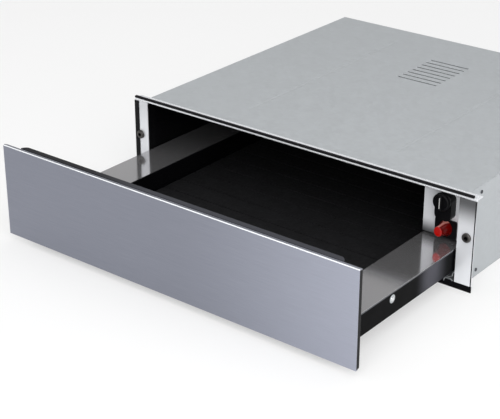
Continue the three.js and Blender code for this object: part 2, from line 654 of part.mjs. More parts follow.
function makeThermostat() {
  const outline = controlPlate(KNOB_BEZEL_WIDTH, KNOB_BEZEL_BOTTOM, KNOB_BEZEL_TOP, KNOB_BEZEL_CORNER);
  const bezel = alongY(outline, KNOB_BEZEL_FRONT_Y, FASCIA_SETBACK - SEAT);
  const throatRadius = KNOB_SHAFT_RADIUS + HOLE_PLAY;
  const throat = rodAlongY(throatRadius, -CUT_REACH, FASCIA_SETBACK + CUT_REACH, CONTROL_X, KNOB_Z);
  add(housing, 'knob_bezel', cut(bezel, throat), BLACK_PLASTIC);

  const bodyY = FASCIA_BACK_Y + SEAT;
  const bodyTop = CEILING_Z - FASCIA_SHEET - 2 * SEAT;
  const halfBody = THERMOSTAT_WIDTH / 2;
  const body = block(CONTROL_X - halfBody, CONTROL_X + halfBody, bodyY, bodyY + THERMOSTAT_DEPTH,
    bodyTop - THERMOSTAT_HEIGHT, bodyTop);
  const boreEnd = KNOB_BACK_Y + KNOB_SHAFT_LENGTH + THERMOSTAT_END_GAP;
  const bore = rodAlongY(KNOB_SHAFT_RADIUS + RUN, 0, boreEnd, CONTROL_X, KNOB_Z);
  add(housing, 'thermostat', cut(body, bore), WHITE_PLASTIC);

  // The knob turns about its shaft: disc, grip bar and shaft in one moulding
  const knobGroup = new THREE.Group();
  knobGroup.position.set(CONTROL_X, KNOB_BACK_Y, KNOB_Z);
  housing.add(knobGroup);
  const points = [
    [0, -KNOB_DEPTH],
    [0.86 * KNOB_RADIUS, -KNOB_DEPTH],
    [0.97 * KNOB_RADIUS, -0.8 * KNOB_DEPTH],
    [KNOB_RADIUS, 0],
    [KNOB_SHAFT_RADIUS, 0],
    [KNOB_SHAFT_RADIUS, KNOB_SHAFT_LENGTH],
    [0, KNOB_SHAFT_LENGTH],
  ].map(([r, y]) => new THREE.Vector2(r, y));
  const disc = new THREE.LatheGeometry(points, 32);
  const barHalf = 0.8 * KNOB_RADIUS;
  const barFront = -KNOB_DEPTH - GRIP_BAR_HEIGHT;
  const bar = block(-GRIP_BAR_WIDTH / 2, GRIP_BAR_WIDTH / 2, barFront, -0.5 * KNOB_DEPTH, -barHalf, barHalf);
  const half = POINTER_WIDTH / 2;
  const halfLength = POINTER_LENGTH / 2;
  const play = POINTER_PLAY;
  const groove = block(-half - play, half + play, barFront - CUT_REACH, barFront + POINTER_DEPTH,
    -halfLength - play, halfLength + play);
  add(knobGroup, 'thermostat_knob', cut(join(disc, bar), groove), BLACK_PLASTIC);
  const pointerFront = barFront - play;
  const pointer = block(-half, half, pointerFront, pointerFront + POINTER_DEPTH, -halfLength, halfLength);
  add(knobGroup, 'knob_pointer', pointer, WHITE_PRINT);
}

function makePowerButton() {
  const halfHeight = SWITCH_BEZEL_HEIGHT / 2;
  const outline = controlPlate(SWITCH_BEZEL_WIDTH, BUTTON_Z - halfHeight, BUTTON_Z + halfHeight,
    SWITCH_BEZEL_CORNER);
  const bezelBack = FASCIA_SETBACK - SEAT;
  const bezel = alongY(outline, bezelBack - SWITCH_BEZEL_DEPTH, bezelBack);
  add(housing, 'switch_bezel', cut(bezel, buttonWindow(0, 2 * FASCIA_SETBACK)), BLACK_PLASTIC);

  const halfBody = SWITCH_BODY_WIDTH / 2;
  const body = block(CONTROL_X - halfBody, CONTROL_X + halfBody, SWITCH_BODY_Y,
    SWITCH_BODY_Y + SWITCH_BODY_DEPTH, BUTTON_Z - SWITCH_BODY_HEIGHT / 2, BUTTON_Z + SWITCH_BODY_HEIGHT / 2);
  const boreEnd = BUTTON_BACK_Y + BUTTON_STEM + BUTTON_TRAVEL_ROOM + 1;
  const bore = rodAlongY(BUTTON_STEM_RADIUS + RUN, 0, boreEnd, CONTROL_X, BUTTON_Z);
  add(housing, 'switch_body', cut(body, bore), BLACK_PLASTIC);

  // Flared translucent button on a round stem; it is canted in front of its rim
  const buttonGroup = new THREE.Group();
  buttonGroup.position.set(CONTROL_X, BUTTON_BACK_Y, BUTTON_Z);
  housing.add(buttonGroup);
  const tip = BUTTON_TIP_RADIUS;
  const flare = [
    [0, -BUTTON_DEPTH],
    [0.86 * tip, -BUTTON_DEPTH],
    [tip, -BUTTON_DEPTH + 0.9],
    [1.02 * tip, -0.6 * BUTTON_DEPTH],
    [1.12 * tip, -0.36 * BUTTON_DEPTH],
    [1.34 * tip, -0.18 * BUTTON_DEPTH],
    [BUTTON_BASE_Z, -BUTTON_RIM],
    [BUTTON_BASE_Z, 0],
    [0, 0],
  ].map(([r, y]) => new THREE.Vector2(r, y));
  const head = new THREE.LatheGeometry(flare, 32).scale(BUTTON_BASE_X / BUTTON_BASE_Z, 1, 1);
  const points = head.attributes.position;
  for (let i = 0; i < points.count; i++) {
    const share = Math.max(0, -points.getY(i) - BUTTON_RIM) / (BUTTON_DEPTH - BUTTON_RIM);
    points.setZ(i, points.getZ(i) + BUTTON_CANT * share);
  }
  const stem = rodAlongY(BUTTON_STEM_RADIUS, -1, BUTTON_STEM, 0, 0);
  add(buttonGroup, 'power_button', join(head, stem), RED_LENS);
}

// ---------- drawer ----------

function makeDrawerFront() {
  const half = FRAME_HALF;
  const returnY = FRONT_FACE_Y + FRONT_RETURN;
  const skin = block(-half, half, FRONT_FACE_Y, returnY, FRONT_BOTTOM, FRONT_TOP);
  const t = FRONT_SHEET;
  const hollow = block(-half - CUT_REACH, half + CUT_REACH, FRONT_FACE_Y + t, returnY + CUT_REACH,
    FRONT_BOTTOM + t, FRONT_TOP - t);
  add(drawer, 'front_panel', cut(skin, hollow), BRUSHED_STEEL);

  const inset = t + SEAT;
  const backing = block(-half + SEAT, half - SEAT, FRONT_FACE_Y + inset, BACKING_BACK_Y,
    FRONT_BOTTOM + inset, FRONT_TOP - inset);
  add(drawer, 'front_backing', backing, BLACK_PLASTIC);

  // Carrier wall with a top flange that slopes away at its ends
  const top = FRONT_TOP - GRIP_DROP;
  const flangeBack = BACKING_BACK_Y + GRIP_DEPTH;
  const path = [[CARRIER_Y, DRAWER_BOTTOM], [CARRIER_Y, top], [flangeBack, top]];
  const carrier = alongX(sheetProfile(path, -CARRIER_SHEET), -DRAWER_HALF, DRAWER_HALF);
  const corners = SIDES.map(([, s]) => alongZ(polygon([
    [s * DRAWER_HALF, CARRIER_BACK_Y],
    [s * (DRAWER_HALF + CUT_REACH), CARRIER_BACK_Y],
    [s * (DRAWER_HALF + CUT_REACH), flangeBack],
    [s * (DRAWER_HALF - GRIP_SLOPE), flangeBack],
  ]), FRONT_BOTTOM, FRONT_TOP));
  add(drawer, 'front_carrier', cut(carrier, ...corners), BLACK_STEEL);
}

function makeDrawerBox() {
  const rearY = BOX_START_Y + DRAWER_LENGTH;
  for (const [side, s] of SIDES) {
    const outer = s * DRAWER_HALF;
    const inner = s * (DRAWER_HALF - SHELF_WIDTH);
    const shelfPath = [
      [inner, DRAWER_TOP - SHELF_INNER_FOLD],
      [inner, DRAWER_TOP],
      [outer, DRAWER_TOP],
      [outer, DRAWER_TOP - SHELF_OUTER_FOLD],
    ];
    const shelf = sheetProfile(shelfPath, -s * SHELF_SHEET);
    add(drawer, `side_shelf_${side}`, alongY(shelf, BOX_START_Y, rearY), BRIGHT_STEEL);

    const wallTop = DRAWER_TOP - SHELF_OUTER_FOLD - SEAT;
    const wallPath = [[outer, wallTop], [outer, DRAWER_BOTTOM], [outer - s * SIDE_HEM, DRAWER_BOTTOM]];
    const wall = sheetProfile(wallPath, -s * SIDE_SHEET);
    const studHole = rodAlongX(STUD_SHANK + HOLE_PLAY, outer - CUT_REACH / 2, outer + CUT_REACH / 2, STUD_Y,
      DRAWER_TOP - STUD_DROP);
    add(drawer, `outer_side_${side}`, cut(alongY(wall, BOX_START_Y, rearY), studHole), BLACK_STEEL);
  }

  const outside = roundedRectangle(-TRAY_HALF, TRAY_HALF, BOX_START_Y, rearY, TRAY_CORNER);
  const t = TRAY_SHEET;
  const innerHalf = TRAY_HALF - t;
  const inside = roundedRectangle(-innerHalf, innerHalf, BOX_START_Y + t, rearY - t, TRAY_CORNER - t);
  const hollow = alongZ(inside, DRAWER_BOTTOM + t, TRAY_TOP + CUT_REACH);
  const tray = cut(alongZ(outside, DRAWER_BOTTOM, TRAY_TOP), hollow);
  add(drawer, 'drawer_tray', tray, BLACK_ENAMEL);

  const margin = t + MAT_MARGIN;
  const matBottom = DRAWER_BOTTOM + t + SEAT;
  const matHalf = TRAY_HALF - margin;
  const matShape = roundedRectangle(-matHalf, matHalf, BOX_START_Y + margin, rearY - margin, TRAY_CORNER);
  const matTop = matBottom + MAT_THICKNESS;
  const pitch = (rearY - BOX_START_Y) / (MAT_GROOVES + 1);
  const grooves = Array.from({ length: MAT_GROOVES }, (_, i) => {
    const y = BOX_START_Y + (i + 1) * pitch;
    return block(-TRAY_HALF, TRAY_HALF, y - MAT_GROOVE_WIDTH / 2, y + MAT_GROOVE_WIDTH / 2,
      matTop - MAT_GROOVE_DEPTH, matTop + CUT_REACH);
  });
  add(drawer, 'non_slip_mat', cut(alongZ(matShape, matBottom, matTop), ...grooves), BLACK_RUBBER);
}

// Domed heads on the drawer's sides, with a short shank through the sheet
function makeSideStuds() {
  for (const [side, s] of SIDES) {
    const seat = DRAWER_HALF + SEAT;
    const shankEnd = DRAWER_HALF - SIDE_SHEET;
    const points = [
      [0, shankEnd],
      [STUD_SHANK, shankEnd],
      [STUD_SHANK, seat],
      [STUD_RADIUS, seat],
      [STUD_RADIUS, seat + 0.2 * STUD_HEIGHT],
      [0.7 * STUD_RADIUS, seat + 0.8 * STUD_HEIGHT],
      [0, seat + STUD_HEIGHT],
    ].map(([r, x]) => new THREE.Vector2(r, x));
    const stud = new THREE.LatheGeometry(points, 20).rotateZ(-s * Math.PI / 2);
    add(drawer, `side_stud_${side}`, stud.translate(0, STUD_Y, DRAWER_TOP - STUD_DROP), CHROME);
  }
}

// ---------- runners ----------

// Channel with one web and two flanges that point towards the tip. Its ball races bulge away from
// its middle (race 1) or towards it (race -1), and its tips may turn in.
function channelProfile(s, webX, tipX, height, { race = 0, lip = false } = {}) {
  const turn = Math.sign(tipX - webX);
  const flange = (up) => {
    const z = RAIL_CENTRE_Z + (up * height) / 2;
    const points = [[webX, z]];
    for (let i = 0; race && i <= RACE_STEPS; i += 1) {
      const share = i / RACE_STEPS;
      const x = BALL_X + turn * (share - 0.5) * RACE_WIDTH;
      points.push([x, z + up * race * RACE_DEPTH * Math.sin(Math.PI * share)]);
    }
    points.push([tipX, z]);
    if (lip) points.push([tipX, z - up * (RAIL_SHEET + RAIL_LIP)]);
    return points;
  };
  const path = [...flange(-1).reverse(), ...flange(1)].map(([x, z]) => [s * x, z]);
  return sheetProfile(path, -s * turn * RAIL_SHEET);
}

// U-shaped retainer that holds a row of balls above and below, ballZ from the runner's middle
function ballCage(s, webX, ballZ, y0) {
  const half = ballZ + CAGE_SHEET / 2;
  const tip = BALL_X + BALL_RADIUS + CAGE_LIP;
  const path = [
    [s * tip, RAIL_CENTRE_Z - half],
    [s * webX, RAIL_CENTRE_Z - half],
    [s * webX, RAIL_CENTRE_Z + half],
    [s * tip, RAIL_CENTRE_Z + half],
  ];
  const frame = alongY(sheetProfile(path, -s * CAGE_SHEET), y0, y0 + CAGE_LENGTH);
  const pitch = CAGE_LENGTH / BALLS_PER_ROW;
  const balls = [];
  for (let i = 0; i < BALLS_PER_ROW; i += 1) {
    for (const z of [RAIL_CENTRE_Z - ballZ, RAIL_CENTRE_Z + ballZ]) {
      const ball = new THREE.SphereGeometry(BALL_RADIUS, 8, 6).rotateX(Math.PI / 2);
      balls.push(ball.translate(s * BALL_X, y0 + (i + 0.5) * pitch, z));
    }
  }
  return join(frame, ...balls);
}

function makeRunners() {
  for (const [side, s] of SIDES) {
    // Bracket from the base plate up to the fixed channel, with a joggled web
    const webFace = FIXED_RAIL_WEB_X - SEAT;
    const stepX = webFace - BRACKET_STEP;
    const path = [
      [s * (stepX - BRACKET_FOOT), WALL_BOTTOM],
      [s * stepX, WALL_BOTTOM],
      [s * stepX, BRACKET_STEP_Z],
      [s * webFace, BRACKET_STEP_Z + BRACKET_STEP],
      [s * webFace, RAIL_TOP],
    ];
    const end = FIXED_RAIL_START + DRAWER_LENGTH - FIXED_RAIL_SHORT;
    const bracket = alongY(sheetProfile(path, s * BRACKET_SHEET), FIXED_RAIL_START, end);
    add(housing, `runner_bracket_${side}`, bracket, ZINC_STEEL);

    const railTipX = FIXED_RAIL_WEB_X + RAIL_DEPTH;
    const fixed = channelProfile(s, FIXED_RAIL_WEB_X, railTipX, RAIL_HEIGHT, { race: 1, lip: true });
    add(housing, `fixed_rail_${side}`, alongY(fixed, FIXED_RAIL_START, end), ZINC_STEEL);

    // Middle channel: runs out half as far as the drawer
    const middle = new THREE.Group();
    middle.position.y = -DRAWER_OPEN / 2;
    housing.add(middle);
    const middleProfile = channelProfile(s, MIDDLE_RAIL_WEB_X, railTipX, MIDDLE_RAIL_HEIGHT, { lip: true });
    const middleEnd = MIDDLE_RAIL_START + DRAWER_LENGTH - MIDDLE_RAIL_SHORT;
    add(middle, `middle_rail_${side}`, alongY(middleProfile, MIDDLE_RAIL_START, middleEnd), ZINC_STEEL);

    // Drawer channel: its web is fixed to the outer side wall
    const drawerTipX = INNER_CAGE_WEB_X + CAGE_SHEET + CAGE_PLAY;
    const drawerProfile = channelProfile(s, DRAWER_RAIL_WEB_X, drawerTipX, DRAWER_RAIL_HEIGHT, { race: -1 });
    const drawerEnd = DRAWER_RAIL_START + DRAWER_LENGTH - DRAWER_RAIL_SHORT;
    add(drawer, `drawer_rail_${side}`, alongY(drawerProfile, DRAWER_RAIL_START, drawerEnd), ZINC_STEEL);

    // Ball cages roll along at half the speed between their two channels
    const outerCage = new THREE.Group();
    outerCage.position.y = -DRAWER_OPEN / 4;
    housing.add(outerCage);
    const outerBallZ = MIDDLE_RAIL_HEIGHT / 2 + BALL_SEAT;
    const outer = ballCage(s, OUTER_CAGE_WEB_X, outerBallZ, OUTER_CAGE_START);
    add(outerCage, `outer_ball_cage_${side}`, outer, CHROME);
    const innerCage = new THREE.Group();
    innerCage.position.y = -DRAWER_OPEN * 0.75;
    housing.add(innerCage);
    const innerBallZ = DRAWER_RAIL_HEIGHT / 2 - RACE_DEPTH + BALL_SEAT;
    const inner = ballCage(s, INNER_CAGE_WEB_X, innerBallZ, INNER_CAGE_START);
    add(innerCage, `inner_ball_cage_${side}`, inner, CHROME);
  }
}

// ---------- push latch ----------

function makeLatch() {
  const half = LATCH_WIDTH / 2;
  const bottom = WALL_BOTTOM;
  const body = block(-half, half, LATCH_Y, LATCH_Y + LATCH_DEPTH, bottom, bottom + LATCH_HEIGHT);
  const plungerEnd = PLUNGER_FRONT + PLUNGER_LENGTH;
  const boreEnd = plungerEnd + PLUNGER_TRAVEL + 1;
  const bore = rodAlongY(PLUNGER_RADIUS + RUN, LATCH_Y - 1, boreEnd, 0, PLUNGER_Z);
  add(housing, 'latch_body', cut(body, bore), BLACK_PLASTIC);

  const plunger = new THREE.LatheGeometry([
    [0, PLUNGER_FRONT],
    [0.7 * PLUNGER_RADIUS, PLUNGER_FRONT],
    [PLUNGER_RADIUS, PLUNGER_FRONT + 1.5],
    [PLUNGER_RADIUS, plungerEnd],
    [0, plungerEnd],
  ].map(([r, y]) => new THREE.Vector2(r, y)), 32);
  add(housing, 'latch_plunger', plunger.translate(0, 0, PLUNGER_Z), WHITE_PLASTIC);

  const trayUnder = DRAWER_BOTTOM - SEAT;
  const path = [[STRIKER_Y, STRIKER_BOTTOM], [STRIKER_Y, trayUnder], [STRIKER_Y - STRIKER_FOOT, trayUnder]];
  const striker = alongX(sheetProfile(path, STRIKER_SHEET), -STRIKER_WIDTH / 2, STRIKER_WIDTH / 2);
  add(drawer, 'latch_striker', striker, ZINC_STEEL);
}

// ---------- fan, heater and electrical parts ----------

// Backward-curved blade between the eye and the rim, as an (x, z) outline
function bladeShape() {
  const r0 = IMPELLER_EYE;
  const r1 = IMPELLER_RADIUS - 1;
  const arc = (r, turn) => [r * Math.cos(turn), r * Math.sin(turn)];
  const middle = (r0 + r1) / 2;
  const path = [arc(r0, 0), arc(middle, 0.35 * BLADE_SWEEP), arc(r1, BLADE_SWEEP)];
  return sheetProfile(path, BLADE_SHEET);
}

function makeFan() {
  const fan = new THREE.Group();
  fan.position.set(0, 0, FAN_Z);
  housing.add(fan);
  const plate = rodAlongY(IMPELLER_RADIUS, IMPELLER_BACK_Y - IMPELLER_SHEET, IMPELLER_BACK_Y, 0, 0, 40);
  const hub = rodAlongY(IMPELLER_HUB, IMPELLER_FRONT_Y + 1, IMPELLER_BACK_Y, 0, 0);
  const shaft = rodAlongY(FAN_SHAFT_RADIUS, IMPELLER_BACK_Y - 2, MOTOR_Y + 0.7 * MOTOR_DEPTH, 0, 0);
  const blades = Array.from({ length: BLADE_COUNT }, (_, i) => {
    const blade = alongY(bladeShape(), IMPELLER_FRONT_Y, IMPELLER_BACK_Y - IMPELLER_SHEET / 2);
    return blade.rotateY((i / BLADE_COUNT) * 2 * Math.PI);
  });
  const eyeRing = cut(
    rodAlongY(IMPELLER_RADIUS, IMPELLER_FRONT_Y, IMPELLER_FRONT_Y + IMPELLER_SHEET, 0, 0, 40),
    rodAlongY(IMPELLER_RADIUS - IMPELLER_RING, IMPELLER_FRONT_Y - 1, IMPELLER_BACK_Y, 0, 0, 40),
  );
  add(fan, 'fan_impeller', join(plate, hub, shaft, eyeRing, ...blades), ZINC_STEEL);

  const halfSpan = FAN_BRACKET_SPAN / 2;
  const foot = REAR_INNER_Y - SEAT;
  const strap = sheetProfile([
    [-halfSpan - FAN_BRACKET_FOOT, foot],
    [-halfSpan, foot],
    [-halfSpan, FAN_BRACKET_Y],
    [halfSpan, FAN_BRACKET_Y],
    [halfSpan, foot],
    [halfSpan + FAN_BRACKET_FOOT, foot],
  ], -FAN_BRACKET_SHEET);
  const bracket = alongZ(strap, FAN_Z - FAN_BRACKET_HEIGHT / 2, FAN_Z + FAN_BRACKET_HEIGHT / 2);
  const shaftHole = rodAlongY(FAN_SHAFT_RADIUS + HOLE_PLAY, 0, HOUSING_DEPTH, 0, FAN_Z);
  add(housing, 'fan_bracket', cut(bracket, shaftHole), ZINC_STEEL);

  const motor = rodAlongY(MOTOR_RADIUS, MOTOR_Y, MOTOR_Y + MOTOR_DEPTH, 0, FAN_Z, 36);
  const bore = rodAlongY(FAN_SHAFT_RADIUS + RUN, 0, MOTOR_Y + 0.8 * MOTOR_DEPTH, 0, FAN_Z);
  add(housing, 'fan_motor', cut(motor, bore), DARK_METAL);
}

// Open ring around the impeller whose two ends turn back to the rear panel
function elementPath() {
  const path = new THREE.CurvePath();
  const start = -Math.PI / 2 + ELEMENT_GAP_ANGLE;
  const end = 1.5 * Math.PI - ELEMENT_GAP_ANGLE;
  const at = (angle, back = 0) => new THREE.Vector3(
    ELEMENT_RADIUS * Math.cos(angle), ELEMENT_Y + back, FAN_Z + ELEMENT_RADIUS * Math.sin(angle));
  const ring = [];
  const steps = 28;
  for (let i = 0; i <= steps; i += 1) ring.push(at(start + (i / steps) * (end - start)));
  const leg = REAR_INNER_Y - SEAT - ELEMENT_Y;
  const points = [at(start, leg), at(start, leg / 2), ...ring, at(end, leg / 2), at(end, leg)];
  path.add(new THREE.CatmullRomCurve3(points));
  return path;
}

function makeHeater() {
  const round = new THREE.Shape();
  round.absarc(0, 0, ELEMENT_TUBE, 0, 2 * Math.PI, false);
  const options = { extrudePath: elementPath(), steps: 60, curveSegments: 4, bevelEnabled: false };
  const tube = new THREE.ExtrudeGeometry(round, options);
  add(housing, 'heating_element', tube, DARK_METAL);

  const cutoutY = REAR_LINER_Y + LINER_SHEET + SEAT;
  const cutout = rodAlongY(CUTOUT_RADIUS, cutoutY, cutoutY + CUTOUT_DEPTH, CUTOUT_X, CUTOUT_Z);
  add(housing, 'thermal_cutout', cutout, DARK_METAL);
}

function makeInlet() {
  const back = REAR_INNER_Y - SEAT;
  const half = TERMINAL_WIDTH / 2;
  const low = TERMINAL_Z - TERMINAL_HEIGHT / 2;
  const terminal = block(INLET_X - half, INLET_X + half, back - TERMINAL_DEPTH, back,
    low, low + TERMINAL_HEIGHT);
  const wellEnd = back - TERMINAL_DEPTH / 2;
  const wells = [-1, 0, 1].map((i) => (
    rodAlongY(TERMINAL_WELL_RADIUS, 0, wellEnd, INLET_X + i * TERMINAL_PITCH, TERMINAL_Z, 16)
  ));
  add(housing, 'terminal_block', cut(terminal, ...wells), WHITE_PLASTIC);

  const neck = GLAND_RADIUS - GLAND_STEP;
  const tail = REAR_INNER_Y - GLAND_TAIL;
  const seat = HOUSING_DEPTH + SEAT;
  const gland = new THREE.LatheGeometry([
    [GLAND_BORE, tail],
    [neck, tail],
    [neck, seat],
    [GLAND_RADIUS, seat],
    [GLAND_RADIUS, seat + GLAND_FLANGE],
    [GLAND_BORE, seat + GLAND_FLANGE],
    [GLAND_BORE, tail],
  ].map(([r, y]) => new THREE.Vector2(r, y)), 24);
  add(housing, 'cable_gland', gland.translate(INLET_X, 0, GLAND_Z), BLACK_RUBBER);
}

makeHousingBox();
makeFrame();
makeScrews();
makeLiners();
makeControlBox();
makeThermostat();
makePowerButton();
makeDrawerFront();
makeDrawerBox();
makeSideStuds();
makeRunners();
makeLatch();
makeFan();
makeHeater();
makeInlet();

export default warmingDrawer;
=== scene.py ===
"""Finishes, fine pieces, studio and camera for a built-in warming drawer.

Lengths are in metres: +X to the right, +Y into the cabinet, +Z up.
"""

import math

import bmesh
import bpy
from bpy.props import FloatProperty, FloatVectorProperty, IntProperty, PointerProperty
from bpy.types import Operator, Panel, PropertyGroup
from mathutils import Matrix, Vector


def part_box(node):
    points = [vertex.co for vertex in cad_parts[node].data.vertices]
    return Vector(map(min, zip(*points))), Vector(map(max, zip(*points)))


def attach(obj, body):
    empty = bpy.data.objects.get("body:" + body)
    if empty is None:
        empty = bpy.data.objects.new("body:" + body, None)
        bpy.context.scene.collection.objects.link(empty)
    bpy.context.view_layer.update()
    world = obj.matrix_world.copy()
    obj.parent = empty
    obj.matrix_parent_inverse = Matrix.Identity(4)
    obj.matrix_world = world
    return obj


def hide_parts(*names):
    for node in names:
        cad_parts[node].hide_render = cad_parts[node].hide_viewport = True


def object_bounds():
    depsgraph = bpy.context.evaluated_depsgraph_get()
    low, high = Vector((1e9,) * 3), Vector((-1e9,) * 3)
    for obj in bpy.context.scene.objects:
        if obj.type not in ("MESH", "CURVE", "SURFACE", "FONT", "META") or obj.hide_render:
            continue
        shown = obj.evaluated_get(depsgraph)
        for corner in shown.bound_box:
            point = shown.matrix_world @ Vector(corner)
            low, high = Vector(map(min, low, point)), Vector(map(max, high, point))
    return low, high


bl_info = {
    "name": "Built-in Warming Drawer",
    "version": (1, 0, 0),
    "blender": (4, 5, 0),
    "location": "View3D > Sidebar > Warming Drawer",
    "description": "Finishes, fine pieces and a studio round a built-in warming drawer",
    "category": "Object",
}

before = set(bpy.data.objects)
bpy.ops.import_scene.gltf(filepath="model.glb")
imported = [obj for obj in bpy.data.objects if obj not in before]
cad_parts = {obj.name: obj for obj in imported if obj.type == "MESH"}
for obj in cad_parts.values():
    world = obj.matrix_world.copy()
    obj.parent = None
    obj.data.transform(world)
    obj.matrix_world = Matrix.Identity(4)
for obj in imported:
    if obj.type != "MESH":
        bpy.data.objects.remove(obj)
CAD_LOW, CAD_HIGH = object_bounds()
SIDES = {"left": -1, "right": 1}  # each side's outward direction along X
MM = 0.001
SHARP_ANGLE = 40  # degrees between two faces from which the edge stays sharp
WHITE = (1, 1, 1, 1)
MIX_FACTOR, MIX_FIRST, MIX_SECOND, MIX_RESULT = 0, 6, 7, 2  # a mix node's colour sockets


def tint(code):
    """Linear colour of a six-digit screen colour, by the sRGB curve."""
    parts = [int(code[i:i + 2], 16) / 255 for i in (0, 2, 4)]
    return tuple(p / 12.92 if p <= 0.04045 else ((p + 0.055) / 1.055) ** 2.4 for p in parts)


def colour(name, code, description):
    return FloatVectorProperty(name=name, description=description, subtype="COLOR", size=3,
                               min=0, max=1, default=tint(code))


def length(name, default, description):
    return FloatProperty(name=name, description=description, unit="LENGTH", subtype="DISTANCE",
                         precision=5, min=0, default=default)


def angle(name, degrees, description):
    return FloatProperty(name=name, description=description, subtype="ANGLE",
                         default=math.radians(degrees))


def number(name, default, description, most, least=0):
    return FloatProperty(name=name, description=description, min=least, max=most,
                         default=default)


# --- settings ---


class WarmingDrawerColours(PropertyGroup):
    """Colours of the finishes."""

    front_steel: colour("Front steel", "9699A5", "Brushed steel of the drawer front")
    frame_steel: colour("Frame steel", "ECEEF2", "Satin steel of the frame and fascia")
    shelf_steel: colour("Shelf steel", "CFCED0", "Satin steel of the drawer's side shelves")
    zinc_steel: colour("Zinc steel", "C0C4C7", "Zinc-coated sheet of the housing and runners")
    black_steel: colour("Black steel", "0E0E10", "Painted steel of the drawer's sides")
    # Painted sheen: lighter grey laid along the top of the black grip flange.
    grip_steel: colour("Grip steel", "3C3D43", "Painted steel of the front's grip flange")
    # Colour given to the backing's top edge, a lighter grey than its black plastic.
    backing_edge: colour("Backing edge", "85878F", "Steel facing on the backing's top edge")
    black_enamel: colour("Black enamel", "08080A", "Tray and liners")
    black_plastic: colour("Black plastic", "0A0A0C", "Knob, bezels and backing")
    black_rubber: colour("Black rubber", "151517", "Seals and mat")
    dark_metal: colour("Dark metal", "55575C", "Small screws, motor and heating element")
    screw_steel: colour("Screw steel", "514F4D", "Mounting screws")
    chrome: colour("Chrome", "E4E6E8", "Studs")
    runner_balls: colour("Runner balls", "C8CBCF", "Ball cages")
    white_print: colour("White inlay", "B4B4B2", "Line on the knob")
    white_plastic: colour("White plastic", "DAD7CC", "Thermostat, plunger and terminal block")
    red_lens: colour("Red lens", "D9160F", "Lit power button")
    # Painted highlight: pale colour along the power button's top.
    lens_highlight: colour("Lens ridge", "E79A90", "Frosted line along the power button's top")


class WarmingDrawerDetails(PropertyGroup):
    """Sizes of the fine details."""

    sheet_edge: length("Sheet edge", 0.25 * MM, "Rounding of cut sheet edges and bends")
    front_edge: length("Front edge", 0.45 * MM, "Rounding of the front's folded edges")
    # Painted highlight: height of the pale band painted along the front's top edge.
    top_highlight_height: length("Polished edge", 1.15 * MM, "Height of the front's polished top edge")
    moulded_edge: length("Moulded edge", 0.9 * MM, "Rounding of moulded edges")
    brush_pitch: length("Brush pitch", 0.35 * MM, "Distance between brush lines")
    brush_length: length("Brush length", 45 * MM, "Length of a brush line")
    knob_flutes: IntProperty(name="Knob flutes", description="Grip flutes round the knob",
                             min=0, max=120, default=40)
    flute_depth: length("Flute depth", 0.25 * MM, "Depth of the knob's flutes")
    case_screw: length("Case screw", 2.6 * MM, "Head radius of the housing's small screws")
    hood_depth: length("Hood depth", 2.2 * MM, "How far the rear louvres stand out")


class WarmingDrawerStudio(PropertyGroup):
    """Camera, floor and lights."""

    camera_place: FloatVectorProperty(
        name="Camera", description="Place of the camera", subtype="XYZ", unit="LENGTH", size=3,
        precision=4, default=(1.0689, -1.7068, 0.8869))
    camera_azimuth: angle("Azimuth", 38.4, "Camera's turn from the front")
    camera_elevation: angle("Elevation", 25.4, "Camera's angle above the level")
    focal_length: number("Focal length", 99.9, "For a sensor 36 mm wide", 500, 10)
    floor_colour: colour("Floor", "F4F4F4", "Plain pale floor")
    sky_light: number("Surround light", 0.62, "Even light from all sides", 5)
    zenith: number("Overhead shade", 0.35, "Brightness of the surround overhead", 1)
    key_power: number("Key light", 40, "Large soft light, front right", 1000)
    fill_power: number("Fill light", 4, "Soft light from the left", 1000)
    top_power: number("Top light", 12, "Soft light from above", 1000)


# --- node materials ---


def add_node(tree, kind, links=(), **values):
    """Adds a node; links gives its inputs another node's output or a plain value."""
    made = tree.nodes.new(kind)
    for key, value in values.items():
        setattr(made, key, value)
    for socket, source in dict(links).items():
        if isinstance(source, bpy.types.NodeSocket):
            tree.links.new(source, made.inputs[socket])
        else:
            made.inputs[socket].default_value = source
    return made


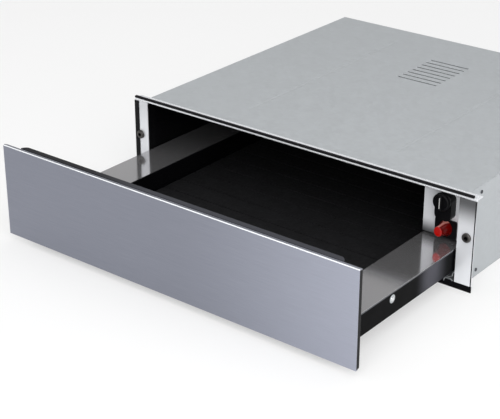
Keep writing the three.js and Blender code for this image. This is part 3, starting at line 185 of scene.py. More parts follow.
class Surface:
    """A node material while it is put together, in the object's own coordinates."""

    def __init__(self, name, base, roughness, metallic=0.0):
        self.material = bpy.data.materials.new(name)
        self.material.use_nodes = True
        self.tree = self.material.node_tree
        self.shader = self.tree.nodes["Principled BSDF"]
        self.base = (*base, 1.0)
        self.set("Base Color", self.base)
        self.set("Roughness", roughness)
        self.set("Metallic", metallic)
        self.place = self.node("ShaderNodeTexCoord").outputs["Object"]

    def set(self, socket, value):
        self.shader.inputs[socket].default_value = value

    def feed(self, socket, source):
        self.tree.links.new(source, self.shader.inputs[socket])

    def node(self, kind, links=(), **values):
        return add_node(self.tree, kind, links, **values)

    def math(self, operation, first, second):
        links = {0: first, 1: second}
        return self.node("ShaderNodeMath", links, operation=operation).outputs["Value"]

    def vector(self, operation, links, result="Vector"):
        return self.node("ShaderNodeVectorMath", links, operation=operation).outputs[result]

    def texture(self, kind, pitch, links=()):
        """Texture with a pitch of its own along X, Y and Z."""
        stretch = {"Vector": self.place, "Scale": [1 / p for p in pitch]}
        place = self.node("ShaderNodeMapping", stretch).outputs["Vector"]
        return self.node(kind, {"Vector": place, "Scale": 1.0, **dict(links)})

    def noise(self, pitch, detail=3.0, rough=0.6):
        links = {"Detail": detail, "Roughness": rough}
        return self.texture("ShaderNodeTexNoise", pitch, links).outputs["Fac"]

    def mottle(self, size, detail=3.0):
        """Noise of the same size in millimetres all ways."""
        return self.noise((size * MM,) * 3, detail)

    def cells(self, size):
        """Cells of that size in millimetres."""
        return self.texture("ShaderNodeTexVoronoi", (size * MM,) * 3)

    def spread(self, source, low, high, start=0.3, end=0.7, curve="LINEAR"):
        """Low to high while the source goes from start to end."""
        links = {"Value": source, "From Min": start, "From Max": end, "To Min": low,
                 "To Max": high}
        return self.node("ShaderNodeMapRange", links, interpolation_type=curve).outputs["Result"]

    def along(self, axis):
        return self.node("ShaderNodeSeparateXYZ", {"Vector": self.place}).outputs[axis]

    def both(self, first, second):
        return self.math("MULTIPLY", first, second)

    def span(self, axis, start, end):
        """1 between two places along an axis, else 0."""
        place = self.along(axis)
        return self.both(self.math("GREATER_THAN", place, start),
                         self.math("LESS_THAN", place, end))

    def base_source(self):
        return self.shader.inputs["Base Color"].links[0].from_socket

    def mixed(self, factor, first, second):
        """Base colour between two colours."""
        links = {MIX_FACTOR: factor, MIX_FIRST: first, MIX_SECOND: second}
        mix = self.node("ShaderNodeMix", links, data_type="RGBA")
        self.feed("Base Color", mix.outputs[MIX_RESULT])

    def shades(self, source, amount):
        """Base colour that varies by a share of itself."""
        dark = tuple(c * (1 - amount) for c in self.base[:3])
        light = tuple(min(1.0, c * (1 + amount)) for c in self.base[:3])
        self.mixed(self.spread(source, 0.0, 1.0), (*dark, 1.0), (*light, 1.0))

    def drift(self, axis, start, end, low, high):
        """Base colour times low at start of an axis, going over to high at end."""
        share = self.spread(self.along(axis), low, high, start, end, "SMOOTHSTEP")
        self.feed("Base Color", self.vector("SCALE", {0: self.base_source(), "Scale": share}))

    def paint(self, within, shade):
        """Replaces the colour by another one where the mask is 1."""
        self.mixed(within, self.base_source(), (*shade, 1.0))

    def roughness(self, source, low, high):
        self.feed("Roughness", self.spread(source, low, high))

    def bump(self, source, depth):
        """Relief of that depth in metres."""
        links = {"Height": source, "Distance": depth, "Strength": 1.0}
        self.feed("Normal", self.node("ShaderNodeBump", links).outputs["Normal"])


def brushed(name, base, details, roughness, along, metallic, contrast, fineness=0.5, wear=0.16):
    """Steel with fine lines along one axis, across which it stretches highlights.

    Contrast and wear are the shares by which its colour and its roughness vary.
    """
    surface = Surface(name, base, roughness, metallic)
    fine = [fineness * details.brush_pitch] * 3
    fine[along] = details.brush_length
    broad = [p * 6 for p in fine]
    lines = surface.noise(fine, 4.0, 0.75)
    surface.shades(lines, contrast)
    surface.roughness(surface.noise(broad, 2.0), (1 - wear) * roughness, (1 + wear) * roughness)
    surface.bump(lines, 0.03 * MM * contrast)
    surface.feed("Tangent", surface.node("ShaderNodeCombineXYZ", {along: 1.0}).outputs["Vector"])
    surface.set("Anisotropic", 0.5)
    return surface


# Roughness, metallic and gloss, then shades (grain, share), wear (grain, lowest and highest
# roughness) and relief (grain, depth); grains and depths are in millimetres.
PLAIN_FINISHES = {
    "black_steel": (0.33, 0.0, 0.02, (40, 0.12), (25, 0.28, 0.4), (1.1, 0.02)),
    "black_enamel": (0.12, 0.0, 0.2, (60, 0.2), (35, 0.09, 0.2), None),
    "black_plastic": (0.36, 0.0, 0.12, (8, 0.15), (6, 0.3, 0.44), (0.25, 0.012)),
    "backing_plastic": (0.3, 0.0, 0.12, (8, 0.1), (5, 0.24, 0.38), (0.5, 0.01)),
    "black_rubber": (0.78, 0.0, 0.2, (12, 0.25), (5, 0.68, 0.9), None),
    "dark_metal": (0.34, 1.0, 0.5, (5, 0.2), (2, 0.26, 0.44), (0.4, 0.01)),
    "screw_steel": (0.36, 0.8, 0.5, (3, 0.2), (2, 0.3, 0.46), (0.4, 0.01)),
    "chrome": (0.08, 1.0, 0.5, (6, 0.04), (3, 0.05, 0.14), None),
    "runner_balls": (0.25, 1.0, 0.5, (10, 0.12), (4, 0.15, 0.35), None),
    "white_print": (0.5, 0.0, 0.5, (1, 0.03), None, (0.3, 0.01)),
    "white_plastic": (0.42, 0.0, 0.5, (7, 0.05), (3, 0.36, 0.5), (0.4, 0.01)),
}


def plain(name, base, like=None):
    """Finish from the table, with noise in its colour, roughness and relief."""
    roughness, metallic, gloss, shades, wear, relief = PLAIN_FINISHES[like or name]
    surface = Surface(name, base, roughness, metallic)
    surface.set("Specular IOR Level", gloss)
    size, amount = shades
    surface.shades(surface.mottle(size), amount)
    if wear:
        size, low, high = wear
        surface.roughness(surface.mottle(size), low, high)
    if relief:
        size, depth = relief
        surface.bump(surface.mottle(size), depth * MM)
    return surface


def front_steel(name, colours, details):
    """Brushed steel with a painted highlight along its top edge, and painted light that makes it
    brighter towards its right-hand end.
    """
    surface = brushed(name, colours.front_steel, details, roughness=0.34, along=0,
                      metallic=1.0, contrast=0.1, fineness=1.0)
    # Painted light: the colour grows brighter towards the right-hand end.
    surface.drift("X", 0.0, 0.4, low=0.84, high=1.4)
    low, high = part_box("front_panel")
    near_top = surface.span("Z", high.z - details.top_highlight_height, high.z + MM)
    near_face = surface.span("Y", low.y - MM, low.y + 2.4 * details.front_edge)
    # Painted highlight: a pale, non-metallic band along the top edge of the face.
    top_highlight = surface.both(near_top, near_face)
    surface.paint(top_highlight, colours.frame_steel)
    surface.feed("Metallic", surface.spread(top_highlight, 1.0, 0.0, 0.0, 1.0))
    return surface


def frame_steel(name, colours, details):
    """Pale satin steel of the frame."""
    return brushed(name, colours.frame_steel, details, roughness=0.26, along=2, metallic=0.3,
                   contrast=0.03)


# Painted shade: each column's colour at its top, as a share of its colour lower down.
COLUMN_TOP_SHADES = {"column_left_steel": 0.8, "column_right_steel": 0.16}  # brightness of the tops


def column_steel(name, colours, details):
    """Frame steel with painted shade that grows darker towards the top; the return behind its face
    takes the black steel colour.
    """
    surface = brushed(name, colours.frame_steel, details, roughness=0.26, along=2,
                      metallic=0.3, contrast=0.008, wear=0.03)
    low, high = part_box("front_column_right")
    sheet = 1.1 * MM
    # Painted shade: darker towards the top of the column.
    surface.drift("Z", high.z - 42 * MM, high.z - 4 * MM, low=1.0, high=COLUMN_TOP_SHADES[name])
    surface.paint(surface.span("Y", low.y + sheet, high.y + MM), colours.black_steel)
    return surface


def shelf_steel(name, colours, details):
    """Satin steel that still mirrors bright things close by; its cut edges and underside, below the
    top face, take the dark metal colour.
    """
    surface = brushed(name, colours.shelf_steel, details, roughness=0.11, along=1,
                      metallic=0.88, contrast=0.04)
    low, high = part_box("side_shelf_right")
    face = high.z - 0.3 * MM
    surface.paint(surface.span("Z", low.z - MM, face), colours.dark_metal)
    return surface


def fascia_steel(name, colours, details):
    """Pale satin steel with painted shade that grows dark towards its foot, beside the drawer's
    shelf.
    """
    surface = brushed(name, colours.frame_steel, details, roughness=0.16, along=2,
                      metallic=0.2, contrast=0.02)
    shelf_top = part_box("side_shelf_right")[1].z
    left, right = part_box("control_box")[0].x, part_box("switch_bezel")[1].x
    full, clear = shelf_top + 2 * MM, shelf_top + 26 * MM
    # Painted shade: black steel colour blended in towards the foot, beside the shelf.
    beside = surface.span("X", left - MM, right)
    foot_shade = surface.spread(surface.along("Z"), 0.92, 0.0, full, clear, curve="SMOOTHSTEP")
    surface.paint(surface.both(beside, foot_shade), colours.black_steel)
    return surface


def zinc_steel(name, colours, _):
    """Zinc-coated sheet with faint spangles."""
    surface = Surface(name, colours.zinc_steel, roughness=0.6, metallic=0.45)
    spangle = surface.cells(6).outputs["Color"]
    grey = surface.node("ShaderNodeSeparateColor", {"Color": spangle}).outputs["Red"]
    darker = (*(0.93 * c for c in colours.zinc_steel), 1.0)
    surface.mixed(grey, darker, surface.base)
    surface.roughness(grey, 0.56, 0.66)
    surface.bump(surface.mottle(0.7), 0.006 * MM)
    return surface


def side_steel(name, colours, _):
    """Painted steel of the drawer's sides, with a painted highlight across a soft zone near the
    frame.
    """
    surface = plain(name, colours.black_steel, "black_steel")
    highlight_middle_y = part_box("side_stud_right")[1].y + 93 * MM
    # Painted highlight: the colour rises to many times itself across the zone, then falls nearly to
    # black behind it.
    surface.drift("Y", highlight_middle_y - 42 * MM, highlight_middle_y - 7 * MM, low=0.6, high=18)
    surface.drift("Y", highlight_middle_y + 2 * MM, highlight_middle_y + 38 * MM, low=1, high=0.03)
    return surface


def grip_steel(name, colours, _):
    """Painted carrier wall with a painted sheen, a lighter grey, along its grip flange and painted
    shade towards its left-hand end.
    """
    surface = plain(name, colours.black_steel, "black_steel")
    surface.set("Specular IOR Level", 0.1)
    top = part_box("front_carrier")[1].z
    # Painted sheen: the grip flange's top takes a lighter grey.
    surface.paint(surface.span("Z", top - 2 * MM, top + MM), colours.grip_steel)
    # Painted shade: darker towards the left-hand end.
    surface.drift("X", -0.16, -0.03, low=0.22, high=1.0)
    return surface


def black_enamel(name, colours, _):
    """Glossy vitreous enamel."""
    surface = plain(name, colours.black_enamel)
    surface.bump(surface.mottle(4, 2.0), 0.02 * MM)
    surface.set("Coat Weight", 0.1)
    surface.set("Coat Roughness", 0.08)
    return surface


def backing_plastic(name, colours, _):
    """Black moulding whose top edge is coloured a lighter grey."""
    surface = plain(name, colours.black_plastic)
    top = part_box("front_backing")[1].z
    surface.paint(surface.span("Z", top - 0.6 * MM, top + MM), colours.backing_edge)
    return surface


def black_rubber(name, colours, _):
    """Matt rubber with a dusty bloom."""
    surface = plain(name, colours.black_rubber)
    surface.bump(surface.cells(0.9).outputs["Distance"], 0.05 * MM)
    return surface


def screw_steel(name, colours, _):
    """Burnished screw head whose socket is painted dark inside as shade."""
    surface = plain(name, colours.screw_steel)
    low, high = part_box("mounting_screw_right")
    centre, head = middle(low, high), (high.z - low.z) / 2
    # Painted shade: the socket's inside takes the black plastic colour.
    mirrored = surface.vector("ABSOLUTE", {0: surface.place})
    flat = surface.vector("MULTIPLY", {0: mirrored, 1: (1, 0, 1)})
    from_axis = surface.vector("DISTANCE", {0: flat, 1: (centre.x, 0, centre.z)}, "Value")
    socket_shade = surface.spread(from_axis, 1.0, 0.0, start=0.4 * head, end=0.5 * head)
    surface.paint(socket_shade, colours.black_plastic)
    return surface


def red_lens(name, colours, _):
    """Translucent red moulding with a lamp behind it and a painted highlight along its top; its tip
    glows most.
    """
    unlit, at_tip, behind = 0.14, 0.38, 0.02
    surface = Surface(name, [unlit * c for c in colours.red_lens], 0.1)
    surface.shades(surface.mottle(5, 1.0), 0.25)
    low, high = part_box("power_button")
    # Painted highlight: a pale line along the top of the lens.
    ridge = middle(low, high).z + 0.885 * (high.z - low.z) / 2
    lens_glint = surface.spread(surface.along("Z"), 0.0, 0.85, ridge - 0.9 * MM, ridge, "SMOOTHSTEP")
    surface.paint(lens_glint, colours.lens_highlight)
    surface.set("IOR", 1.49)
    surface.set("Specular IOR Level", 0.22)
    surface.set("Coat Weight", 0.15)
    surface.set("Coat Roughness", 0.05)
    surface.set("Emission Color", (*colours.red_lens, 1.0))
    glow = surface.spread(surface.along("Y"), at_tip, behind, low.y + 0.4 * MM, low.y + 1.6 * MM)
    surface.feed("Emission Strength", glow)
    surface.bump(surface.mottle(0.6), 0.01 * MM)
    return surface


SPECIAL_FINISHES = {make.__name__: make for make in (
    front_steel, frame_steel, shelf_steel, fascia_steel, zinc_steel, side_steel, grip_steel,
    black_enamel, backing_plastic, black_rubber, screw_steel, red_lens)}
SPECIAL_FINISHES.update(dict.fromkeys(COLUMN_TOP_SHADES, column_steel))


def finish(name):
    """The material of that name, made once."""
    found = bpy.data.materials.get("wd_" + name)
    if found:
        return found
    scene = bpy.context.scene
    if name in SPECIAL_FINISHES:
        surface = SPECIAL_FINISHES[name](name, scene.drawer_colours, scene.drawer_details)
    else:
        surface = plain(name, getattr(scene.drawer_colours, name))
    surface.material.name = "wd_" + name
    return surface.material


# --- CAD nodes ---


def smoothing_group():
    """Node group that drops stored normals and shades smooth except over sharp edges."""
    name = "smooth_by_angle"
    if name in bpy.data.node_groups:
        return bpy.data.node_groups[name]
    group = bpy.data.node_groups.new(name, "GeometryNodeTree")
    for way in ("INPUT", "OUTPUT"):
        group.interface.new_socket("Geometry", in_out=way, socket_type="NodeSocketGeometry")
    start = add_node(group, "NodeGroupInput")
    bare = add_node(group, "GeometryNodeRemoveAttribute",
                    {"Geometry": start.outputs[0], "Name": "custom_normal"})
    faces = add_node(group, "GeometryNodeSetShadeSmooth", {"Geometry": bare.outputs["Geometry"]})
    bend = add_node(group, "GeometryNodeInputMeshEdgeAngle")
    sharp = add_node(group, "FunctionNodeCompare", {
        "A": bend.outputs["Unsigned Angle"], "B": math.radians(SHARP_ANGLE)},
        operation="GREATER_THAN")
    edges = add_node(group, "GeometryNodeSetShadeSmooth", {
        "Geometry": faces.outputs["Geometry"], "Selection": sharp.outputs["Result"],
        "Shade Smooth": False}, domain="EDGE")
    add_node(group, "NodeGroupOutput", {0: edges.outputs["Geometry"]})
    return group


def dress(names, slot, edge="sheet_edge", look=None):
    """Gives CAD nodes their finish and rounds their edges.

    A * in names and look stands for each side; edge is a length or the name of a setting, and 0
    leaves the edges as they are.
    """
    details = bpy.context.scene.drawer_details
    width = getattr(details, edge) if isinstance(edge, str) else edge
    for side in SIDES if "*" in names else ("",):
        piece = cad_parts[names.replace("*", side)]
        for place in piece.material_slots:
            place.link = "OBJECT"
            place.material = finish((look or slot).replace("*", side))
        weld = piece.modifiers.new("weld", "WELD")
        weld.merge_threshold = 0.002 * MM
        if width:
            bevel = piece.modifiers.new("edges", "BEVEL")
            bevel.width = width
            bevel.segments = 2
            bevel.limit_method = "ANGLE"
            bevel.angle_limit = math.radians(SHARP_ANGLE)
            bevel.use_clamp_overlap = True
        smooth = piece.modifiers.new("smooth", "NODES")
        smooth.node_group = smoothing_group()
        weighted = piece.modifiers.new("weighted", "WEIGHTED_NORMAL")
        weighted.keep_sharp = True


# --- mesh tools ---


def add_object(name, data):
    made = bpy.data.objects.new(name, data)
    bpy.context.scene.collection.objects.link(made)
    return made


def add_mesh(name, bm, material):
    mesh = bpy.data.meshes.new(name)
    bm.to_mesh(mesh)
    bm.free()
    mesh.materials.append(material)
    return add_object(name, mesh)


def finish_piece(name, bm, body, slot, replaced=(), sharp=SHARP_ANGLE, look=None):
    """Turns a bmesh into a named piece that rides a body."""
    bmesh.ops.remove_doubles(bm, verts=bm.verts, dist=0.001 * MM)
    bmesh.ops.recalc_face_normals(bm, faces=bm.faces)
    piece = add_mesh(name, bm, finish(look or slot))
    piece.data.shade_smooth()
    piece.data.set_sharp_from_angle(angle=math.radians(sharp))
    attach(piece, body)
    if replaced:
        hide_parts(*replaced)


def loft(bm, rings, capped=False):
    """Skin through closed rings of as many points each; a ring of one point is a tip."""
    rows = [[bm.verts.new(p) for p in ring] for ring in rings]
    for first, second in zip(rows, rows[1:]):
        count = max(len(first), len(second))
        for i in range(count):
            j = (i + 1) % count
            if len(first) == 1:
                bm.faces.new((first[0], second[i], second[j]))
            elif len(second) == 1:
                bm.faces.new((first[j], first[i], second[0]))
            else:
                bm.faces.new((first[j], first[i], second[i], second[j]))
    if capped:
        for end in (rows[0], rows[-1]):
            bm.faces.new(end)


def turns_round(steps):
    """Angles of evenly spaced points round a circle."""
    return [2 * math.pi * i / steps for i in range(steps)]


def revolve(bm, profile, place, steps=48, shapes=None):
    """Surface of revolution about local +Z through points of (radius, height).

    Shapes gives some of the points a function from the angle to the share of the radius.
    """
    rings = []
    for i, (radius, height) in enumerate(profile):
        if radius <= 0:
            rings.append([place @ Vector((0, 0, height))])
            continue
        share = (shapes or {}).get(i, lambda _: 1.0)
        reaches = [(t, radius * share(t)) for t in turns_round(steps)]
        rings.append([place @ Vector((r * math.cos(t), r * math.sin(t), height))
                      for t, r in reaches])
    loft(bm, rings)


def turned(name, profile, place, body, slot, steps, shapes=None, **finishing):
    """Makes a piece that is one surface of revolution."""
    bm = bmesh.new()
    revolve(bm, profile, place, steps, shapes)
    finish_piece(name, bm, body, slot, **finishing)


def scaled(shares, radius, height):
    """Profile of a turned piece from shares of its radius and height."""
    return [(r * radius, h * height) for r, h in shares]


def rounded_box(bm, low, high, edge, segments=3):
    """Box between two corners with rounded edges."""
    size = Vector(high) - Vector(low)
    centre = (Vector(high) + Vector(low)) / 2
    matrix = Matrix.Translation(centre) @ Matrix.Diagonal((*size, 1))
    made = bmesh.ops.create_cube(bm, size=1, matrix=matrix)
    edges = {e for v in made["verts"] for e in v.link_edges}
    bmesh.ops.bevel(bm, geom=list(edges), offset=edge, segments=segments, affect="EDGES",
                    profile=0.5)


def smooth_path(points, steps=6):
    """Points along a smooth curve through the given ones."""
    ends = [2 * points[0] - points[1], *points, 2 * points[-1] - points[-2]]
    curve = []
    for a, b, c, d in zip(ends, ends[1:], ends[2:], ends[3:]):
        for i in range(steps):
            t = i / steps
            curve.append(0.5 * (2 * b + (c - a) * t + (2 * a - 5 * b + 4 * c - d) * t ** 2
                                + (3 * b - a - 3 * c + d) * t ** 3))
    return [*curve, points[-1]]


def tube(bm, points, radius, steps=10):
    """Round bar along a path, with closed ends."""
    rings = [[points[0]]]
    side = None
    for i, point in enumerate(points):
        along = (points[min(i + 1, len(points) - 1)] - points[max(i - 1, 0)]).normalized()
        side = along.orthogonal() if side is None else side - side.project(along)
        side.normalize()
        up = along.cross(side)
        rings.append([point + radius * (math.cos(t) * side + math.sin(t) * up)
                      for t in turns_round(steps)])
    rings.append([points[-1]])
    loft(bm, rings)


def hexagon(turn):
    """Share of the corner radius at an angle, for a hexagonal hole."""
    corner = math.pi / 3
    return math.cos(corner / 2) / math.cos(turn % corner - corner / 2)


def facing(point, axis):
    """Matrix that puts local +Z along an axis at a point."""
    turn = Vector(axis).to_track_quat("Z", "Y").to_matrix().to_4x4()
    return Matrix.Translation(point) @ turn


def middle(low, high):
    return (low + high) / 2


def case_screw(name, place, body, radius):
    """Small pan-head screw with a hexalobular socket."""
    def lobes(turn):
        return 1 + 0.12 * math.cos(6 * turn)

    height, buried = 0.55 * radius, -0.5 * MM
    head = ((1, 0.3), (0.95, 0.62), (0.8, 0.88), (0.6, 1))
    socket = ((0.42, 1), (0.38, 0.94), (0.38, 0.3))
    profile = [(0, buried), (radius, buried), *scaled(head + socket, radius, height),
               (0, 0.25 * height)]
    first = 2 + len(head)
    lobed = dict.fromkeys(range(first, first + len(socket)), lobes)
    turned(name, profile, place, body, "dark_metal", 36, lobed, sharp=35)


# --- drawer ---


def make_carrier_trim(details):
    """Screws behind the front and a hem round its grip flange."""
    low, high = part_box("front_carrier")
    tray_gap = 0.2 * MM
    shelf_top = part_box("side_shelf_right")[1].z
    wall_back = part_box("drawer_tray")[0].y - tray_gap
    screw_z = shelf_top + 0.35 * (high.z - shelf_top)
    for i, x in enumerate((-0.18, -0.06, 0.06, 0.18)):
        place = facing((x, wall_back, screw_z), (0, 1, 0))
        case_screw(f"front_screw_{i + 1}", place, "drawer", details.case_screw)
    make_grip_hem(low, high, wall_back)


def make_grip_hem(low, high, wall_back):
    """Rolled edge round the grip flange, with rounded ends."""
    radius, slope = 0.75 * MM, 6 * MM
    z = high.z - radius
    corner = [(0.6 * MM, wall_back + 0.6 * MM), (2.2 * MM, wall_back + 3.2 * MM),
              (slope, high.y - 0.6 * MM), (slope + 4 * MM, high.y - 0.2 * MM)]
    left = [Vector((low.x + dx, y, z)) for dx, y in corner]
    right = [Vector((high.x - dx, y, z)) for dx, y in reversed(corner)]
    bm = bmesh.new()
    tube(bm, smooth_path(left) + smooth_path(right), radius, 12)
    finish_piece("grip_hem", bm, "drawer", "black_steel", look="grip_steel")


def make_side_studs(_):
    """Domed studs, each on a flat washer."""
    dome = ((0, 0), (0.45, 0), (0.45, 0.48), (1, 0.48), (1, 0.56), (0.93, 0.7), (0.75, 0.84),
            (0.5, 0.94), (0.25, 0.985), (0, 1))
    for side, turn in SIDES.items():
        node = f"side_stud_{side}"
        low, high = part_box(node)
        centre = middle(low, high)
        radius, reach = (high.z - low.z) / 2, high.x - low.x
        inner = low.x if turn > 0 else high.x
        place = facing((inner, centre.y, centre.z), (turn, 0, 0))
        turned(f"{node}_dome", scaled(dome, radius, reach), place, "drawer", "chrome", 40,
               replaced=[node])
        rim, seat, top = 1.75 * radius, 0.44 * reach, 0.44 * reach + 0.5 * MM
        washer = [(0, seat), (rim, seat), (rim, seat + 0.25 * MM),
                  (0.94 * rim, seat + 0.45 * MM), (1.1 * radius, top), (0, top)]
        turned(f"{node}_washer", washer, place, "drawer", "zinc_steel", 40)


def make_stop_wires(_):
    """Bent spring wires: a stop on each runner's bracket and a clip on the bottom strip.

    The paths are in millimetres outwards from the bracket, behind its front end and up.
    """
    wire = 0.45 * MM
    stop = [(-0.4, 1.0, 15.6), (1.2, -0.9, 15.0), (4.1, -1.2, 13.6), (6.8, -1.2, 12.6),
            (9.6, -1.2, 12.9), (11.8, -1.2, 13.8), (13.1, -1.2, 15.9), (13.3, -1.2, 18.7),
            (14.6, -1.2, 20.9), (16.1, -1.2, 21.0), (17.3, -1.2, 19.4)]
    clip = [(2.6, -4.6, 6.5), (2.7, -4.6, 8.6), (3.9, -4.6, 10.9), (5.9, -4.6, 12.2),
            (8.7, -4.6, 11.9), (11.1, -4.6, 12.0), (13.3, -4.6, 11.5), (15.4, -4.6, 9.6)]
    for side, turn in SIDES.items():
        low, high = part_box(f"runner_bracket_{side}")
        web = high.x if turn > 0 else -low.x
        for name, shape in (("stop_wire", stop), ("strip_clip", clip)):
            points = [Vector((turn * (web + x * MM), low.y + y * MM, z * MM))
                      for x, y, z in shape]
            bm = bmesh.new()
            tube(bm, smooth_path(points), wire)
            finish_piece(f"{name}_{side}", bm, "housing", "zinc_steel")


# --- housing ---


def make_rolled_rail(_):
    """Frame's top rail with its front edge rolled to a half round."""
    low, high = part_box("top_front_rail")
    sheet, steps = 1.2 * MM, 10
    radius = (high.z - low.z) / 2
    y, z = low.y + radius, low.z + radius
    section = [(high.y, high.z), (high.y, high.z - sheet), (y + 2 * sheet, high.z - sheet),
               (y + sheet, low.z)]
    for i in range(steps + 1):
        turn = -math.pi / 2 - math.pi * i / steps
        section.append((y + radius * math.cos(turn), z + radius * math.sin(turn)))
    bm = bmesh.new()
    loft(bm, [[(x, y, z) for y, z in section] for x in (low.x, high.x)], capped=True)
    finish_piece("top_front_rail_rolled", bm, "housing", "frame_steel", ["top_front_rail"])


def make_edge_line(_):
    """Thin dark line down the frame's right-hand edge."""
    low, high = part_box("front_column_right")
    width, proud, inset = 1.7 * MM, 0.25 * MM, 0.1 * MM
    bm = bmesh.new()
    rounded_box(bm, (high.x - width, low.y - proud, low.z),
                (high.x - inset, low.y + inset, high.z), inset, 2)
    finish_piece("edge_line_right", bm, "housing", "black_rubber")


def make_mounting_screws(_):
    """Low round-headed screws with a hexagonal socket."""
    head = ((1, 0), (1, 0.35), (0.985, 0.55), (0.94, 0.74), (0.87, 0.87), (0.78, 0.95), (0.66, 1))
    socket = ((1.06, 1), (1, 0.97), (1, -0.4))
    depth, point = 3.2 * MM, 2 * MM
    for side in SIDES:
        node = f"mounting_screw_{side}"
        low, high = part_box(node)
        centre = middle(low, high)
        radius = (high.z - low.z) / 2
        shank, end = 0.32 * radius, depth - (high.y - low.y)
        place = facing((centre.x, low.y + depth, centre.z), (0, -1, 0))
        profile = [(0, end), (shank, end + point), (shank, 0), *scaled(head, radius, depth),
                   *scaled(socket, 0.46 * radius, depth), (0, -0.5 * depth)]
        first = 3 + len(head)
        six_sided = dict.fromkeys(range(first, first + len(socket)), hexagon)
        turned(f"{node}_turned", profile, place, "housing", "dark_metal", 48, six_sided,
               replaced=[node], sharp=35, look="screw_steel")


def make_louvre_hoods(details):
    """Pressed hoods over the rear slots, open below."""
    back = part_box("rear_panel")[1].y
    fan_low, fan_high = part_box("fan_motor")
    fan_z = middle(fan_low, fan_high).z
    pitch, half_width, count, sheet = 7 * MM, 37 * MM, 8, 0.5 * MM
    drop, rise, ends, steps = -1.3 * MM, 2.6 * MM, 16, 6
    bluntness, end_swell, seat, least = 0.35, 0.12, 0.05 * MM, 0.02 * MM
    for i in range(count):
        z = fan_z + (i - (count - 1) / 2) * pitch
        rings = []
        for k in range(ends + 1):
            x = half_width * math.sin(math.pi * (k / ends - 0.5))
            swell = end_swell
            if k not in (0, ends):
                swell = math.cos(math.asin(x / half_width)) ** bluntness
            outer, inner = [], []
            for j in range(steps + 1):
                turn = math.pi / 2 * j / steps
                out = details.hood_depth * swell * math.cos(turn)
                up = drop + (rise - drop) * math.sin(turn)
                under = drop + 0.8 * (up - drop)
                outer.append(Vector((x, back + out + seat, z + up)))
                inner.append(Vector((x, back + max(least, out - sheet), z + under)))
            rings.append(outer + inner[::-1])
        bm = bmesh.new()
        loft(bm, rings, capped=True)
        finish_piece(f"rear_louvre_{i + 1}", bm, "housing", "zinc_steel", sharp=50)


def make_case_screws(details):
    """Screws that hold the housing's panels together."""
    inset = 9 * MM
    low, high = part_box("rear_panel")
    spots = [(x, z) for x in (low.x + inset, -0.12, 0.12, high.x - inset)
             for z in (low.z + inset, high.z - inset)]
    for i, (x, z) in enumerate(spots):
        place = facing((x, high.y, z), (0, 1, 0))
        case_screw(f"rear_screw_{i + 1}", place, "housing", details.case_screw)
    for side, turn in SIDES.items():
        low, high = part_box(f"side_panel_{side}")
        face = high.x if turn > 0 else low.x
        for k, share in enumerate((0.08, 0.5, 0.92)):
            y = low.y + share * (high.y - low.y)
            for level, z in (("low", low.z + inset), ("high", high.z - inset)):
                place = facing((face, y, z), (turn, 0, 0))
                case_screw(f"side_screw_{side}_{level}_{k + 1}", place, "housing",
                           details.case_screw)


# --- controls and inlet ---


def make_knob(details):
    """Knob with a fluted rim and a grip bar across its sunk face."""
    low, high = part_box("thermostat_knob")
    centre = middle(low, high)
    radius = (high.x - low.x) / 2
    bar_depth, disc_depth, shaft = 2.4 * MM, 7.4 * MM, 3 * MM
    disc_back = low.y + bar_depth + disc_depth
    end = disc_back - high.y
    place = facing((centre.x, disc_back, centre.z), (0, -1, 0))

    def fluted(turn):
        wave = 0.5 + 0.5 * math.cos(details.knob_flutes * turn)
        return 1 - details.flute_depth / radius * wave

    face = ((0.985, 0.7), (0.94, 0.9), (0.88, 1), (0.8, 1), (0.78, 0.9), (0, 0.9))
    profile = [(0, end), (0.9 * shaft, end), (shaft, end + 0.4 * MM), (shaft, 0),
               (0.96 * radius, 0), (radius, 0.5 * MM), *scaled(face, radius, disc_depth)]
    bm = bmesh.new()
    revolve(bm, profile, place, 4 * details.knob_flutes, {4: fluted, 5: fluted, 6: fluted})
    half, reach = 2.5 * MM, 0.8 * radius
    rounded_box(bm, (centre.x - half, low.y, centre.z - reach),
                (centre.x + half, disc_back - 0.5 * disc_depth, centre.z + reach), 0.7 * MM)
    finish_piece("thermostat_knob_moulding", bm, "knob", "black_plastic", ["thermostat_knob"],
                 sharp=50)


def make_button(_):
    """Waisted lens, canted upwards, on a round stem."""
    waisted = (
        (0, 0), (1, 0), (1, 0.07), (0.985, 0.1), (0.955, 0.125), (0.915, 0.17), (0.87, 0.24),
        (0.825, 0.33), (0.785, 0.43), (0.75, 0.54), (0.715, 0.66), (0.685, 0.78), (0.655, 0.9),
        (0.635, 0.945), (0.6, 0.975), (0.55, 0.993), (0.48, 1), (0.43, 0.99), (0, 0.987))
    low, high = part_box("power_button")
    centre = middle(low, high)
    half_width, half_height = (high.x - low.x) / 2, (high.z - low.z) / 2
    stem, depth, rim, cant = 3.5 * MM, 22.5 * MM, 2.4 * MM, 2.6 * MM
    back = low.y + depth
    squeeze = Matrix.Diagonal((half_width / half_height, 1, 1, 1))
    place = Matrix.Translation((centre.x, back, centre.z)) @ squeeze @ facing((0, 0, 0), (0, -1, 0))
    bm = bmesh.new()
    revolve(bm, scaled(waisted, half_height, depth), place, 64)
    for vert in bm.verts:
        vert.co.z += cant * max(0, back - rim - vert.co.y) / (depth - rim)
    reach, overlap = high.y - back, -0.5 * MM
    profile = [(0, overlap), (stem, overlap), (stem, reach - 0.4 * MM), (0.85 * stem, reach),
               (0, reach)]
    revolve(bm, profile, facing((centre.x, back, centre.z), (0, 1, 0)), 32)
    finish_piece("power_button_lens", bm, "button", "red_lens", ["power_button"], sharp=50)


